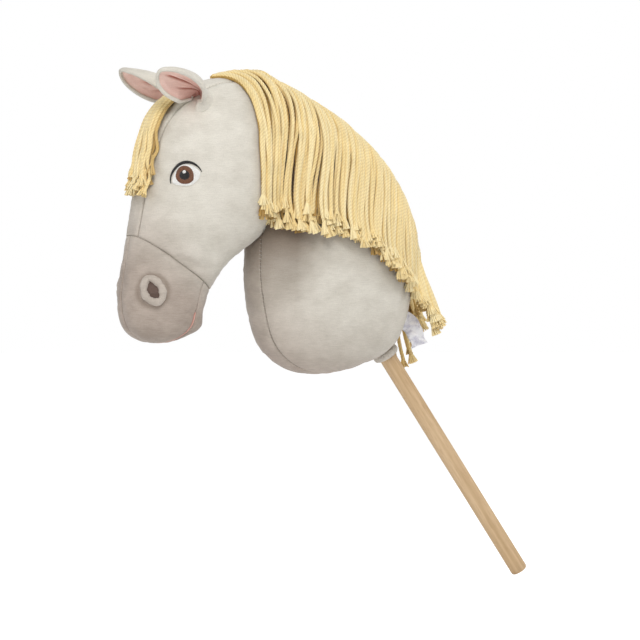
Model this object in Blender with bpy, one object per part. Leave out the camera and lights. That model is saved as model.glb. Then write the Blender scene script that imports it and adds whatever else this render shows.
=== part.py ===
"""Plush hobby horse: a stuffed horse head and neck with a yarn mane, on a round wooden stick.

The part is held as it is ridden. The origin is the centre of the stick's foot, +Z is up,
the horse faces -X and its own left side is -Y. The stick leans forward from the foot.
Sizes are metres. Station lists are millimetres, because they are read against a ruler.
"""

import math

import bmesh
import bpy
import numpy as np
from mathutils import Matrix, Vector
from mathutils.bvhtree import BVHTree

MM = 0.001

# Driving dimensions
STICK_DIAMETER = 0.020
STICK_LENGTH = 0.637
STICK_LEAN = math.radians(34.2)
FOOT_CHAMFER = 0.0022
FABRIC = 0.0022
SEAM_GAP = 0.0004
FILLING_GAP = 0.0013
HEAD_TO_NECK_GAP = 0.0006

# The sleeve is the sewn tunnel inside the stuffing that holds the stick.
SLEEVE_INNER_RADIUS = 0.0104
SLEEVE_WALL = 0.0012
SLEEVE_START = 0.3165
SLEEVE_END_GAP = 0.004
SLEEVE_HOLE_RADIUS = 0.0140
SLEEVE_HOLE_START = 0.25
PAD_THICKNESS = 0.006
PAD_GAP = 0.0005
PAD_BEVEL = 0.0018
HEM_POSITION = 0.3098
HEM_INNER_RADIUS = 0.0105
HEM_THICKNESS = 0.0045
HEM_HEIGHT = 0.005
HEM_BEVEL = 0.0009

TACK_POSITIONS = (0.345, 0.375)
TACK_SHANK_RADIUS = 0.0008
TACK_SHANK_LENGTH = 0.008
TACK_POINT_LENGTH = 0.002
TACK_HEAD_RADIUS = 0.0026
TACK_HEAD_HEIGHT = 0.0010
TACK_CLEARANCE = 0.0004

# Stations: front x, front z, back x, back z and half width, in millimetres.
# The head runs from a pole inside the neck, over the poll, to a pole between the lips.
HEAD_START = (-317, 502)
HEAD_STATIONS = (
    (-330, 572, -330, 430, 40),
    (-363, 582, -336, 408, 52),
    (-399, 580, -346, 393, 57),
    (-433, 565, -360, 382, 58),
    (-463, 539, -372, 373, 56),
    (-480, 505, -383, 363, 52.5),
    (-491, 465, -392, 352, 47.5),
    (-499, 423, -400, 340, 43),
    (-506, 383, -407, 328, 40),
    (-512, 348, -411, 315, 39),
    (-514, 320, -416, 302, 38),
    (-507, 296, -424, 289, 34),
    (-492, 279, -443, 277, 23),
)
HEAD_END = (-469, 272)
HEAD_SQUARENESS = 2.35

# The neck runs from the stick's exit up to a pole inside the head. Front is its underside.
NECK_START = (-177, 261)
NECK_STATIONS = (
    (-215, 243, -159, 284, 28),
    (-274, 234, -148, 318, 44),
    (-317, 249, -145, 353, 54),
    (-339, 275, -148, 390, 60),
    (-349, 311, -159, 427, 62),
    (-353, 350, -179, 464, 60),
    (-351, 388, -209, 499, 57),
    (-353, 426, -247, 530, 53),
    (-361, 462, -288, 554, 48),
    (-375, 498, -330, 570, 39),
)
NECK_END = (-365, 540)
NECK_SQUARENESS = 2.2

# Soft swellings and hollows: station, angle, reach in stations, reach in degrees, height in mm.
HEAD_BUMPS = (
    (3.7, 122, 1.5, 34, 4.5),
    (4.9, 46, 1.0, 20, 3.0),
    (6.0, 70, 0.9, 20, -2.5),
    (8.4, 88, 1.3, 34, -3.0),
    (10.3, 66, 0.9, 24, 4.5),
    (12.2, 30, 0.9, 34, 3.0),
    (11.6, 172, 0.8, 34, 5.5),
)

# Seams of the head and neck, as station numbers and as degrees from the front.
HEAD_SEAM_TO_NECK = 1.6
MUZZLE_SEAM = 8.6
LIP_LINE = 128
LIP_CORNER = 10.3
LIP_EASE = 0.9
LIP_END = 13.92
LIP_OPENING = 0.0034
LINING_DEPTH = 0.0007
LINING_GAP = 0.0004
FOREHEAD_HALF_ANGLE = 20
JAW_ANGLE = 164
GUSSET_HALF_ANGLE = 21
NECK_HOLE = 0.45
NECK_FILLING_START = 0.62
NECK_TOP = 9.6
NECK_INNER_TOP = 10.4
HEAD_INNER_START = 0.5

HEAD_LINES = (1.6, 2.4, 3.2, 4, 5, 6, 7, 8, 8.6, 9.4, 10.3, 11.2, 12.1, 12.9, 13.5, 13.78, 13.92)
HEAD_ANGLES = (0, 20, 37, 54, 71, 88, 104, 116, 128, 146, 164, 180)
NECK_LINES = (0.45, 0.85, 1.4, 2, 3, 4, 5, 6, 7, 8, 9, 9.6)
NECK_ANGLES = (0, 21, 40, 60, 80, 100, 120, 140, 160, 180)

# Ears: the root is on the head, and each ear hinges about the seam across its root.
EAR_STATION = 3.7
EAR_ANGLE = 27
EAR_LENGTH = 0.0735
EAR_HALF_WIDTH = 0.0345
EAR_ROOT_SHARE = 0.60
EAR_WIDEST = 0.42
EAR_TIP_SHARE = 1.02
EAR_TIP_ROUNDING = 1.8
EAR_ROOT_RADIUS = 0.0055
EAR_ROOT_LENGTH = 0.024
EAR_ROOT_LIFT = 0.0028
EAR_DIRECTION = (-0.915, -0.27, 0.31)
EAR_HINGE_LINE = (0.22, -0.93, -0.28)
EAR_TWISTS = {"left": 50, "right": -8}
EAR_LAYER_GAP = 0.0010
EAR_LINING = 0.0018
EAR_HEM = 0.0022
EAR_ROLLS = (86, 58)
EAR_LEAN = 0.006
EAR_ROWS = 9
EAR_COLUMNS = 11

# Eyes and nostrils, on the left side; the right side mirrors them.
EYE_STATION = 5.95
EYE_ANGLE = 66
EYE_TILT = 22
EYE_LENGTH = 0.034
EYE_HEIGHT = 0.025
IRIS_DIAMETER = 0.0195
PUPIL_DIAMETER = 0.0120
GLINT_DIAMETER = 0.0034
GLINT_OFFSET = (-0.0026, 0.0030)
LID_OFFSET = 0.0026
LID_WIDTH = 0.0034
LID_THICKNESS = 0.0014
# Each eye patch lies on the one before: how far its two faces are from the head.
WHITE_LAYER = (0.0005, 0.0012)
IRIS_LAYER = (0.0016, 0.0022)
PUPIL_LAYER = (0.0026, 0.0031)
GLINT_LAYER = (0.0035, 0.0039)
NOSTRIL_STATION = 10.2
NOSTRIL_ANGLE = 62
NOSTRIL_TILT = -35
NOSTRIL_LENGTH = 0.027
NOSTRIL_HEIGHT = 0.017
RIM_RADIUS = 0.0024
RIM_LIFT = 0.0006
NOSTRIL_LAYER = (0.0006, 0.0015)
NOSTRIL_MARGIN = 0.0093

# Mane: locks of yarn sewn along the crest, with a tape over the seam.
LOCKS_PER_SIDE = 6
MANE_START = 3.0
MANE_STOP = 2.05
LOCK_THICKNESS = 0.0085
LOCK_CLEARANCE = 0.0042
LOCK_ROOT_LIFT = 0.0050
LOCK_ROOT_SIDE = 0.0006
LOCK_SPREAD = 0.018
LOCK_SWEEP = 0.31
LOCK_RISE = 0.06
LOCK_REAR_RISE = 0.22
LOCK_REAR_CLOSING = 0.3
LOCK_OPENING = 0.006
LOCK_STEPS = 11
LOCK_COLUMNS = 5
LOCK_GAP_SHARE = 0.007
TAPE_WIDTH = 0.012
TAPE_LIFT = 0.0012
TAPE_THICKNESS = 0.0010
# Where each part of the left mane ends, in x and z millimetres, from the front to the rear.
MANE_ENDS = (
    (-358, 414),
    (-326, 409),
    (-286, 399),
    (-249, 388),
    (-214, 370),
    (-180, 345),
    (-147, 322),
    (-118, 288),
)

FORELOCK_START = 3.75
FORELOCK_END = 7.2
FORELOCK_ROOT_WIDTH = 0.026
FORELOCK_END_WIDTH = 0.042
FORELOCK_DRIFT = 9
FORELOCK_THICKNESS = 0.011
FORELOCK_LIFT = 0.0018

LABEL_LENGTH = 0.040
LABEL_WIDTH = 0.022
LABEL_THICKNESS = 0.0009
LABEL_STATION = 1.45
LABEL_GAP = 0.0032
LABEL_DIRECTION = (0.90, 0.0, -0.44)

COLOURS = {
    "plush": ((0.69, 0.66, 0.60), 0.95),
    "muzzle_plush": ((0.47, 0.40, 0.35), 0.95),
    "rose_plush": ((0.74, 0.44, 0.38), 0.95),
    "yarn": ((0.84, 0.67, 0.33), 0.9),
    "tape": ((0.72, 0.62, 0.40), 0.9),
    "thread_white": ((0.85, 0.83, 0.78), 0.6),
    "thread_brown": ((0.16, 0.07, 0.035), 0.5),
    "thread_black": ((0.012, 0.012, 0.014), 0.5),
    "wood": ((0.66, 0.46, 0.27), 0.6),
    "sleeve_cloth": ((0.75, 0.73, 0.68), 0.9),
    "filling": ((0.88, 0.88, 0.86), 1.0),
    "label_satin": ((0.86, 0.86, 0.88), 0.35),
    "steel": ((0.55, 0.55, 0.56), 0.35),
    "felt": ((0.30, 0.30, 0.30), 1.0),
}


# Objects and materials


def clear_scene():
    for old in list(bpy.data.objects):
        bpy.data.objects.remove(old, do_unlink=True)


def material(name):
    """The Principled material of one finish, made once."""
    found = bpy.data.materials.get(name)
    if found:
        return found
    colour, roughness = COLOURS[name]
    made = bpy.data.materials.new(name)
    made.use_nodes = True
    shader = made.node_tree.nodes["Principled BSDF"]
    shader.inputs["Base Color"].default_value = (*colour, 1)
    shader.inputs["Roughness"].default_value = roughness
    shader.inputs["Metallic"].default_value = 1.0 if name == "steel" else 0.0
    return made


def add_solid(name, points, faces, finish):
    """One closed solid as an object, its faces turned outwards and shaded smooth."""
    mesh = bpy.data.meshes.new(name)
    mesh.from_pydata([tuple(map(float, p)) for p in points], [], faces)
    work = bmesh.new()
    work.from_mesh(mesh)
    bmesh.ops.recalc_face_normals(work, faces=work.faces)
    if work.calc_volume(signed=True) < 0:
        bmesh.ops.reverse_faces(work, faces=work.faces)
    work.to_mesh(mesh)
    work.free()
    mesh.shade_smooth()
    mesh.set_sharp_from_angle(angle=math.radians(40))
    mesh.materials.append(material(finish))
    made = bpy.data.objects.new(name, mesh)
    bpy.context.scene.collection.objects.link(made)
    return made


def turn_about(obj, point):
    """Puts the object's origin at a point of its hinge line, and leaves its shape in place."""
    obj.data.transform(Matrix.Translation(-Vector(point)))
    obj.location = Vector(point)


def as_cutter(obj):
    obj.hide_render = True
    obj.display_type = "WIRE"
    return obj


def cut(obj, cutter):
    """Takes the cutter's volume out of the object."""
    boolean = obj.modifiers.new("cut_" + cutter.name, "BOOLEAN")
    boolean.operation = "DIFFERENCE"
    boolean.solver = "EXACT"
    boolean.object = cutter


# Curves and surfaces


def closed_spline(rows):
    """A smooth closed curve through the rows, one row for each unit of its parameter."""
    points = np.asarray(rows, float)
    count = len(points)
    step = np.roll(np.eye(count), 1, axis=1)
    system = 4 * np.eye(count) + step + step.T
    slopes = np.linalg.solve(system, 3 * (np.roll(points, -1, 0) - np.roll(points, 1, 0)))

    def at(t):
        t = np.mod(np.asarray(t, float), count)
        low = np.floor(t).astype(int) % count
        high = (low + 1) % count
        f = (t - np.floor(t))[..., None]
        return (
            (2 * f**3 - 3 * f**2 + 1) * points[low]
            + (f**3 - 2 * f**2 + f) * slopes[low]
            + (3 * f**2 - 2 * f**3) * points[high]
            + (f**3 - f**2) * slopes[high]
        )

    return at


def unit(v):
    return v / np.maximum(np.linalg.norm(v, axis=-1, keepdims=True), 1e-12)


class Form:
    """A stuffed body: sections between a front and a back outline, closed by a pole at each end.

    A place on it is a station number and an angle in degrees: 0 is the front outline,
    90 the horse's left side, 180 the back outline and 270 its right side."""

    STEP_T = 0.002
    STEP_ANGLE = 0.05
    POLE_STEP = 0.02

    def __init__(self, start, stations, end, squareness, bumps=()):
        loop = [(*start, 0)]
        loop += [(fx, fz, half) for fx, fz, _, _, half in stations]
        loop += [(*end, 0)]
        loop += [(bx, bz, -half) for _, _, bx, bz, half in reversed(stations)]
        self.outline = closed_spline(np.array(loop) * MM)
        self.last = len(stations) + 1
        self.squareness = squareness
        self.bumps = bumps
        self.facing = 1
        half_way = np.float64(self.last / 2)
        outward = self.section(half_way, 90.0) - self.middle(half_way)
        if np.dot(self.slope_normal(self.section, half_way, np.float64(90.0)), outward) < 0:
            self.facing = -1

    def section(self, t, angle):
        front = self.outline(t)
        back = self.outline(-np.asarray(t, float))
        middle = (front[..., :2] + back[..., :2]) / 2
        reach = (front[..., :2] - back[..., :2]) / 2
        turn = np.radians(angle)
        power = 2 / self.squareness
        across = np.sign(np.cos(turn)) * np.abs(np.cos(turn)) ** power
        aside = np.sign(np.sin(turn)) * np.abs(np.sin(turn)) ** power
        flat = middle + reach * across[..., None]
        y = -front[..., 2] * aside
        return np.stack([flat[..., 0], y, flat[..., 1]], axis=-1)

    def middle(self, t):
        both = (self.outline(t) + self.outline(-np.asarray(t, float))) / 2
        return np.stack([both[..., 0], 0 * both[..., 0], both[..., 1]], axis=-1)

    def slope_normal(self, place, t, angle):
        along = place(t + self.STEP_T, angle) - place(t - self.STEP_T, angle)
        around = place(t, angle + self.STEP_ANGLE) - place(t, angle - self.STEP_ANGLE)
        return unit(np.cross(along, around)) * self.facing

    def swelling(self, t, angle):
        folded = 180 - np.abs(180 - np.mod(angle, 360))
        total = np.zeros(np.broadcast(t, angle).shape)
        for at_t, at_angle, reach_t, reach_angle, height in self.bumps:
            near = ((t - at_t) / reach_t) ** 2 + ((folded - at_angle) / reach_angle) ** 2
            total = total + height * MM * np.exp(-near)
        return total

    def skin(self, t, angle):
        t, angle = np.broadcast_arrays(np.asarray(t, float), np.asarray(angle, float))
        base = self.section(t, angle)
        if not self.bumps:
            return base
        outward = self.slope_normal(self.section, t, angle)
        return base + outward * self.swelling(t, angle)[..., None]

    def normal(self, t, angle):
        t, angle = np.broadcast_arrays(np.asarray(t, float), np.asarray(angle, float))
        return self.slope_normal(self.skin, t, angle)

    def point(self, t, angle, lift=0.0):
        return self.skin(t, angle) + self.normal(t, angle) * lift

    def steps(self, t, angle):
        """Metres moved for one station along, and for one degree around, at a place."""
        along = self.skin(t + self.STEP_T, angle) - self.skin(t - self.STEP_T, angle)
        around = self.skin(t, angle + self.STEP_ANGLE) - self.skin(t, angle - self.STEP_ANGLE)
        return along / (2 * self.STEP_T), around / (2 * self.STEP_ANGLE)


HEAD = Form(HEAD_START, HEAD_STATIONS, HEAD_END, HEAD_SQUARENESS, HEAD_BUMPS)
NECK = Form(NECK_START, NECK_STATIONS, NECK_END, NECK_SQUARENESS)

STICK_UP = np.array([-math.sin(STICK_LEAN), 0.0, math.cos(STICK_LEAN)])
STICK_FRONT = np.array([-math.cos(STICK_LEAN), 0.0, -math.sin(STICK_LEAN)])
STICK_SIDE = np.array([0.0, 1.0, 0.0])


# Builders


def grid_faces(rows, columns, first=0, wrap=False):
    faces = []
    for row in range(rows - 1):
        for column in range(columns if wrap else columns - 1):
            right = (column + 1) % columns
            a, b = first + row * columns + column, first + row * columns + right
            c, d = b + columns, a + columns
            faces.append((a, b, c, d))
    return faces


def add_slab(name, top, bottom, finish):
    """A closed solid between two grids of points with the same rows and columns."""
    rows, columns = top.shape[:2]
    points = np.concatenate([top.reshape(-1, 3), bottom.reshape(-1, 3)])
    under = rows * columns
    faces = grid_faces(rows, columns)
    faces += [tuple(reversed(f)) for f in grid_faces(rows, columns, under)]
    border = [(0, c) for c in range(columns)]
    border += [(r, columns - 1) for r in range(1, rows)]
    border += [(rows - 1, c) for c in range(columns - 2, -1, -1)]
    border += [(r, 0) for r in range(rows - 2, 0, -1)]
    ring = [r * columns + c for r, c in border]
    for here, after in zip(ring, ring[1:] + ring[:1]):
        faces.append((here, here + under, after + under, after))
    return add_solid(name, points, faces, finish)


def between(lines, low, high):
    """The master lines from low to high, both included."""
    return [low] + [line for line in lines if low < line < high] + [high]


def seam(t):
    """How far a panel's edge stands back from an ordinary seam."""
    return np.full(np.shape(t), SEAM_GAP / 2)


def lip(t):
    """How far a panel's edge stands back from the mouth line, which opens in front of its corner."""
    opened = np.clip((t - LIP_CORNER) / LIP_EASE, 0, 1)
    return seam(t) + (LIP_OPENING - SEAM_GAP) / 2 * opened**2 * (3 - 2 * opened)


def add_panel(name, form, lines, angles, finish, first=seam, last=seam):
    """A cloth panel of the cover: the form's own surface outside, one cloth thickness deep.

    The edges at the first and last angle stand back from their seams as the two functions say."""
    t, angle = np.meshgrid(np.array(lines, float), np.array(angles, float), indexing="ij")
    along, around = (np.linalg.norm(step, axis=-1) for step in form.steps(t, angle))
    low = angle[:, :1] + (first(t[:, 0]) / around[:, 0])[:, None]
    high = angle[:, -1:] - (last(t[:, 0]) / around[:, -1])[:, None]
    share = (angle - angle[:, :1]) / (angle[:, -1:] - angle[:, :1])
    angle = low + (high - low) * share
    t[0] += seam(t[0]) / along[0]
    t[-1] -= seam(t[0]) / along[-1]
    return add_slab(name, form.point(t, angle), form.point(t, angle, -FABRIC), finish)


def add_stuffed(name, form, lines, angles, lift, finish):
    """The whole form as one closed solid, moved out or in by lift."""
    around = list(angles) + [360 - a for a in reversed(angles[1:-1])]
    t, angle = np.meshgrid(np.array(lines, float), np.array(around, float), indexing="ij")
    rings = form.point(t, angle, lift)
    poles = []
    for pole in (form.POLE_STEP, form.last - form.POLE_STEP):
        poles.append(form.point(np.full(4, pole), np.arange(4) * 90.0, lift).mean(axis=0))
    points = np.concatenate([rings.reshape(-1, 3), poles])
    rows, columns = t.shape
    faces = grid_faces(rows, columns, wrap=True)
    first_pole, last_pole = rows * columns, rows * columns + 1
    last_row = (rows - 1) * columns
    for c in range(columns):
        after = (c + 1) % columns
        faces.append((first_pole, after, c))
        faces.append((last_pole, last_row + c, last_row + after))
    return add_solid(name, points, faces, finish)


def add_ribbon(name, centres, normals, width, thickness, finish):
    """A flat strip along a line of points, lying square to the normals."""
    along = unit(np.gradient(centres, axis=0))
    side = unit(np.cross(along, normals))
    offsets = np.array([-0.5, 0.0, 0.5])[None, :, None] * np.asarray(width).reshape(-1, 1, 1)
    bottom = centres[:, None, :] + side[:, None, :] * offsets
    top = bottom + normals[:, None, :] * thickness
    return add_slab(name, top, bottom, finish)


def add_turned(name, profile, sides, finish, base=0.0):
    """A solid turned about the stick's axis. The profile is a closed loop of radius and height."""
    angles = np.arange(sides) * 2 * math.pi / sides
    points = []
    for radius, height in profile:
        for a in angles:
            out = STICK_FRONT * math.cos(a) + STICK_SIDE * math.sin(a)
            points.append(STICK_UP * (base + height) + out * radius)
    count = len(profile)
    faces = []
    for i in range(count):
        j = (i + 1) % count
        for k in range(sides):
            n = (k + 1) % sides
            faces.append((i * sides + k, i * sides + n, j * sides + n, j * sides + k))
    return add_solid(name, points, faces, finish)


def add_rod(name, rings, sides, finish, centre=(0, 0, 0), axis=STICK_UP, across=STICK_FRONT):
    """A solid rod with flat ends. Each ring is a radius and a height along the axis."""
    side = np.cross(axis, across)
    points = []
    for radius, height in rings:
        for k in range(sides):
            a = 2 * math.pi * k / sides
            out = across * math.cos(a) + side * math.sin(a)
            points.append(np.array(centre) + axis * height + out * radius)
    faces = grid_faces(len(rings), sides, wrap=True)
    faces.append(tuple(range(sides)))
    faces.append(tuple(range((len(rings) - 1) * sides, len(rings) * sides)))
    return add_solid(name, points, faces, finish)


def mirrored(points):
    flipped = np.array(points, float)
    flipped[..., 1] *= -1
    return flipped


# Head and neck covers


def add_head_cover():
    upper = between(HEAD_LINES, HEAD_SEAM_TO_NECK, MUZZLE_SEAM)
    muzzle = between(HEAD_LINES, MUZZLE_SEAM, LIP_END)
    side = between(HEAD_ANGLES, FOREHEAD_HALF_ANGLE, JAW_ANGLE)
    add_panel("head_side_left", HEAD, upper, side, "plush")
    add_panel("head_side_right", HEAD, upper, [360 - a for a in reversed(side)], "plush")
    forehead = [-FOREHEAD_HALF_ANGLE, 0, FOREHEAD_HALF_ANGLE]
    add_panel("forehead_gusset", HEAD, upper, forehead, "plush")
    jaw = [JAW_ANGLE, 180, 360 - JAW_ANGLE]
    add_panel("jaw_gusset", HEAD, upper, jaw, "plush")
    nose = between(HEAD_ANGLES, 0, LIP_LINE)
    add_panel("nose_panel_left", HEAD, muzzle, nose, "muzzle_plush", last=lip)
    other = [360 - a for a in reversed(nose)]
    add_panel("nose_panel_right", HEAD, muzzle, other, "muzzle_plush", first=lip)
    chin = between(HEAD_ANGLES, LIP_LINE, 180)
    chin = chin + [360 - a for a in reversed(chin[:-1])]
    add_panel("chin_panel", HEAD, muzzle, chin, "muzzle_plush", first=lip, last=lip)


def add_mouth_lining():
    """The rose strip that shows between the lips: up one side, over the front, down the other."""
    start = LIP_CORNER + LIP_EASE / 2
    steps = np.array([start] + [t for t in HEAD_LINES if t > start + 0.05])
    middle = np.full(len(steps), float(LIP_LINE))
    around = np.linalg.norm(HEAD.steps(steps, middle)[1], axis=-1)
    half = (lip(steps) - LINING_GAP) / around
    t = steps[:, None] + np.zeros(3)
    angle = middle[:, None] + half[:, None] * np.array([-1.0, 0.0, 1.0])
    tip = HEAD.last - HEAD.POLE_STEP
    nose, chin = HEAD.skin(np.float64(tip), np.array([0.0, 180.0]))
    forward = unit(nose - chin)
    outward = unit(np.cross(STICK_SIDE, forward))
    if np.dot(outward, HEAD.normal(np.float64(tip), np.float64(90.0))) < 0:
        outward = -outward
    centre = (nose + chin) / 2
    reach = forward * (LIP_OPENING / 2 - LINING_GAP) * np.array([1.0, 0.0, -1.0])[:, None]
    layers = []
    for depth in (LINING_DEPTH, FABRIC):
        side = HEAD.point(t, angle, -depth)
        front = (centre - outward * depth + reach)[None]
        layers.append(np.concatenate([side, front, mirrored(side)[::-1]]))
    return add_slab("mouth_lining", layers[0], layers[1], "rose_plush")


def add_neck_cover(head_space):
    lines = between(NECK_LINES, NECK_HOLE, NECK_TOP)
    side = between(NECK_ANGLES, GUSSET_HALF_ANGLE, 180)
    gusset = [-GUSSET_HALF_ANGLE, 0, GUSSET_HALF_ANGLE]
    pieces = [
        add_panel("neck_side_left", NECK, lines, side, "plush"),
        add_panel("neck_side_right", NECK, lines, [360 - a for a in reversed(side)], "plush"),
        add_panel("neck_gusset", NECK, lines, gusset, "plush"),
    ]
    for piece in pieces:
        cut(piece, head_space)


def add_fillings(head_space, stick_space):
    depth = -(FABRIC + FILLING_GAP)
    head_lines = (HEAD_INNER_START,) + HEAD_LINES
    head = add_stuffed("head_filling", HEAD, head_lines, HEAD_ANGLES, depth, "filling")
    neck_lines = between(NECK_LINES, NECK_FILLING_START, NECK_TOP) + [NECK_INNER_TOP]
    neck = add_stuffed("neck_filling", NECK, neck_lines, NECK_ANGLES, depth, "filling")
    cut(neck, head_space)
    cut(neck, stick_space)
    cut(head, stick_space)


# Stick and what holds it


def add_stick():
    radius = STICK_DIAMETER / 2
    rings = [
        (radius - FOOT_CHAMFER, 0),
        (radius, FOOT_CHAMFER),
        (radius, STICK_LENGTH - FOOT_CHAMFER),
        (radius - FOOT_CHAMFER, STICK_LENGTH),
    ]
    return add_rod("stick", rings, 24, "wood")


def add_stick_holder():
    """The cloth tunnel, the felt pad over the stick's top end, and the hem at the neck's hole."""
    inner, outer = SLEEVE_INNER_RADIUS, SLEEVE_INNER_RADIUS + SLEEVE_WALL
    height = STICK_LENGTH - SLEEVE_START - SLEEVE_END_GAP
    sleeve = [(inner, 0), (outer, 0), (outer, height), (inner, height)]
    sleeve = add_turned("stick_sleeve", sleeve, 24, "sleeve_cloth", SLEEVE_START)
    low = STICK_LENGTH + PAD_GAP
    high = low + PAD_THICKNESS
    pad = [
        (outer - PAD_BEVEL, low),
        (outer, low + PAD_BEVEL),
        (outer, high - PAD_BEVEL),
        (outer - PAD_BEVEL, high),
    ]
    add_rod("stick_end_pad", pad, 24, "felt")
    hem_outer = HEM_INNER_RADIUS + HEM_THICKNESS
    hem = [
        (HEM_INNER_RADIUS, HEM_BEVEL),
        (HEM_INNER_RADIUS + HEM_BEVEL, 0),
        (hem_outer - HEM_BEVEL, 0),
        (hem_outer, HEM_BEVEL),
        (hem_outer, HEM_HEIGHT - HEM_BEVEL),
        (hem_outer - HEM_BEVEL, HEM_HEIGHT),
        (HEM_INNER_RADIUS, HEM_HEIGHT),
    ]
    add_turned("neck_hem", hem, 20, "plush", HEM_POSITION)
    return sleeve


def add_tacks(stick, sleeve):
    """Round tacks that pin the sleeve to the stick, each in its own pilot hole."""
    outer = SLEEVE_INNER_RADIUS + SLEEVE_WALL
    for i, height in enumerate(TACK_POSITIONS):
        inward = STICK_SIDE if i == 0 else -STICK_SIDE
        centre = STICK_UP * height - inward * (outer + TACK_CLEARANCE)
        rings = [
            (TACK_HEAD_RADIUS * 0.6, -TACK_HEAD_HEIGHT),
            (TACK_HEAD_RADIUS, -TACK_HEAD_HEIGHT * 0.4),
            (TACK_HEAD_RADIUS, 0),
            (TACK_SHANK_RADIUS, 0.0001),
            (TACK_SHANK_RADIUS, TACK_SHANK_LENGTH - TACK_POINT_LENGTH),
            (TACK_SHANK_RADIUS * 0.2, TACK_SHANK_LENGTH),
        ]
        add_rod(f"sleeve_tack_{i + 1}", rings, 10, "steel", centre, inward, STICK_UP)
        radius = TACK_SHANK_RADIUS + TACK_CLEARANCE
        hole = [(radius, -TACK_POINT_LENGTH), (radius, TACK_SHANK_LENGTH + TACK_CLEARANCE)]
        pilot = add_rod(f"pilot_{i + 1}", hole, 10, "steel", centre, inward, STICK_UP)
        as_cutter(pilot)
        cut(stick, pilot)
        cut(sleeve, pilot)


# Face


def patch_place(form, station, angle, right, up, tilt):
    """The station and angle at an offset from a place, in metres along the tilted axes there.

    Right runs towards the muzzle and up runs towards the forehead."""
    along, around = form.steps(np.float64(station), np.float64(angle))
    turn = math.radians(tilt)
    x = right * math.cos(turn) - up * math.sin(turn)
    y = right * math.sin(turn) + up * math.cos(turn)
    first, second = unit(along), unit(-around)
    second = unit(second - first * np.dot(first, second))
    offset = x[..., None] * first + y[..., None] * second
    basis = np.stack([along, around], axis=1)
    solved = offset @ np.linalg.pinv(basis).T
    return station + solved[..., 0], angle + solved[..., 1]


def add_patches(name, place, radius_at, layer, finish, shift=(0, 0), spokes=16):
    """A thin sewn patch on each side of the head, following it.

    radius_at gives the outline's reach in metres, and layer how far its two faces are lifted."""
    station, angle, tilt = place
    turns = np.arange(spokes) * 2 * math.pi / spokes
    edge = np.array([radius_at(a) for a in turns])
    rings = [0.5, 1.0]
    right = np.array([[s * r * math.cos(a) for r, a in zip(edge, turns)] for s in rings]) + shift[0]
    up = np.array([[s * r * math.sin(a) for r, a in zip(edge, turns)] for s in rings]) + shift[1]
    t, around = patch_place(HEAD, station, angle, right, up, tilt)
    ct, ca = patch_place(HEAD, station, angle, np.array([shift[0]]), np.array([shift[1]]), tilt)
    layers, faces = [], []
    for level, height in enumerate(layer):
        first = level * (2 * spokes + 1)
        layers.append(HEAD.point(ct, ca, height))
        layers.append(HEAD.point(t, around, height).reshape(-1, 3))
        for k in range(spokes):
            n = (k + 1) % spokes
            faces.append((first, first + 1 + k, first + 1 + n))
            inner, outer = first + 1, first + 1 + spokes
            faces.append((inner + k, outer + k, outer + n, inner + n))
    low, high = 1 + spokes, 2 * spokes + 1 + 1 + spokes
    for k in range(spokes):
        n = (k + 1) % spokes
        faces.append((low + k, high + k, high + n, low + n))
    add_pair(np.concatenate(layers), faces, name, finish)


def add_pair(points, faces, name, finish):
    """A solid on the left side, and its mirror image on the right."""
    add_solid(f"{name}_left", points, faces, finish)
    add_solid(f"{name}_right", mirrored(points), faces, finish)


def almond(length, height):
    """Outline of an almond: an ellipse drawn out a little towards both corners."""

    def radius(a):
        c, s = abs(math.cos(a)), abs(math.sin(a))
        return 1 / ((c / (length / 2)) ** 1.6 + (s / (height / 2)) ** 1.6) ** (1 / 1.6)

    return radius


def disc(diameter):
    return lambda a: diameter / 2


def add_eyes():
    place = (EYE_STATION, EYE_ANGLE, EYE_TILT)
    add_patches("eye_white", place, almond(EYE_LENGTH, EYE_HEIGHT), WHITE_LAYER, "thread_white")
    add_patches("eye_iris", place, disc(IRIS_DIAMETER), IRIS_LAYER, "thread_brown")
    add_patches("eye_pupil", place, disc(PUPIL_DIAMETER), PUPIL_LAYER, "thread_black", spokes=12)
    glint = disc(GLINT_DIAMETER)
    add_patches("eye_glint", place, glint, GLINT_LAYER, "thread_white", GLINT_OFFSET, 8)
    count = 11
    sweep = np.radians(np.linspace(176, 4, count))
    right = (EYE_LENGTH / 2 + LID_OFFSET) * np.cos(sweep)
    up = (EYE_HEIGHT / 2 + LID_OFFSET) * np.sin(sweep)
    t, angle = patch_place(HEAD, EYE_STATION, EYE_ANGLE, right, up, EYE_TILT)
    centres, normals = HEAD.point(t, angle, WHITE_LAYER[0]), HEAD.normal(t, angle)
    width = LID_WIDTH * (0.3 + 0.7 * np.sin(np.linspace(0, math.pi, count)))
    thick = LID_THICKNESS
    add_ribbon("eye_lid_left", centres, normals, width, thick, "thread_black")
    add_ribbon("eye_lid_right", mirrored(centres), mirrored(normals), width, thick, "thread_black")


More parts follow.
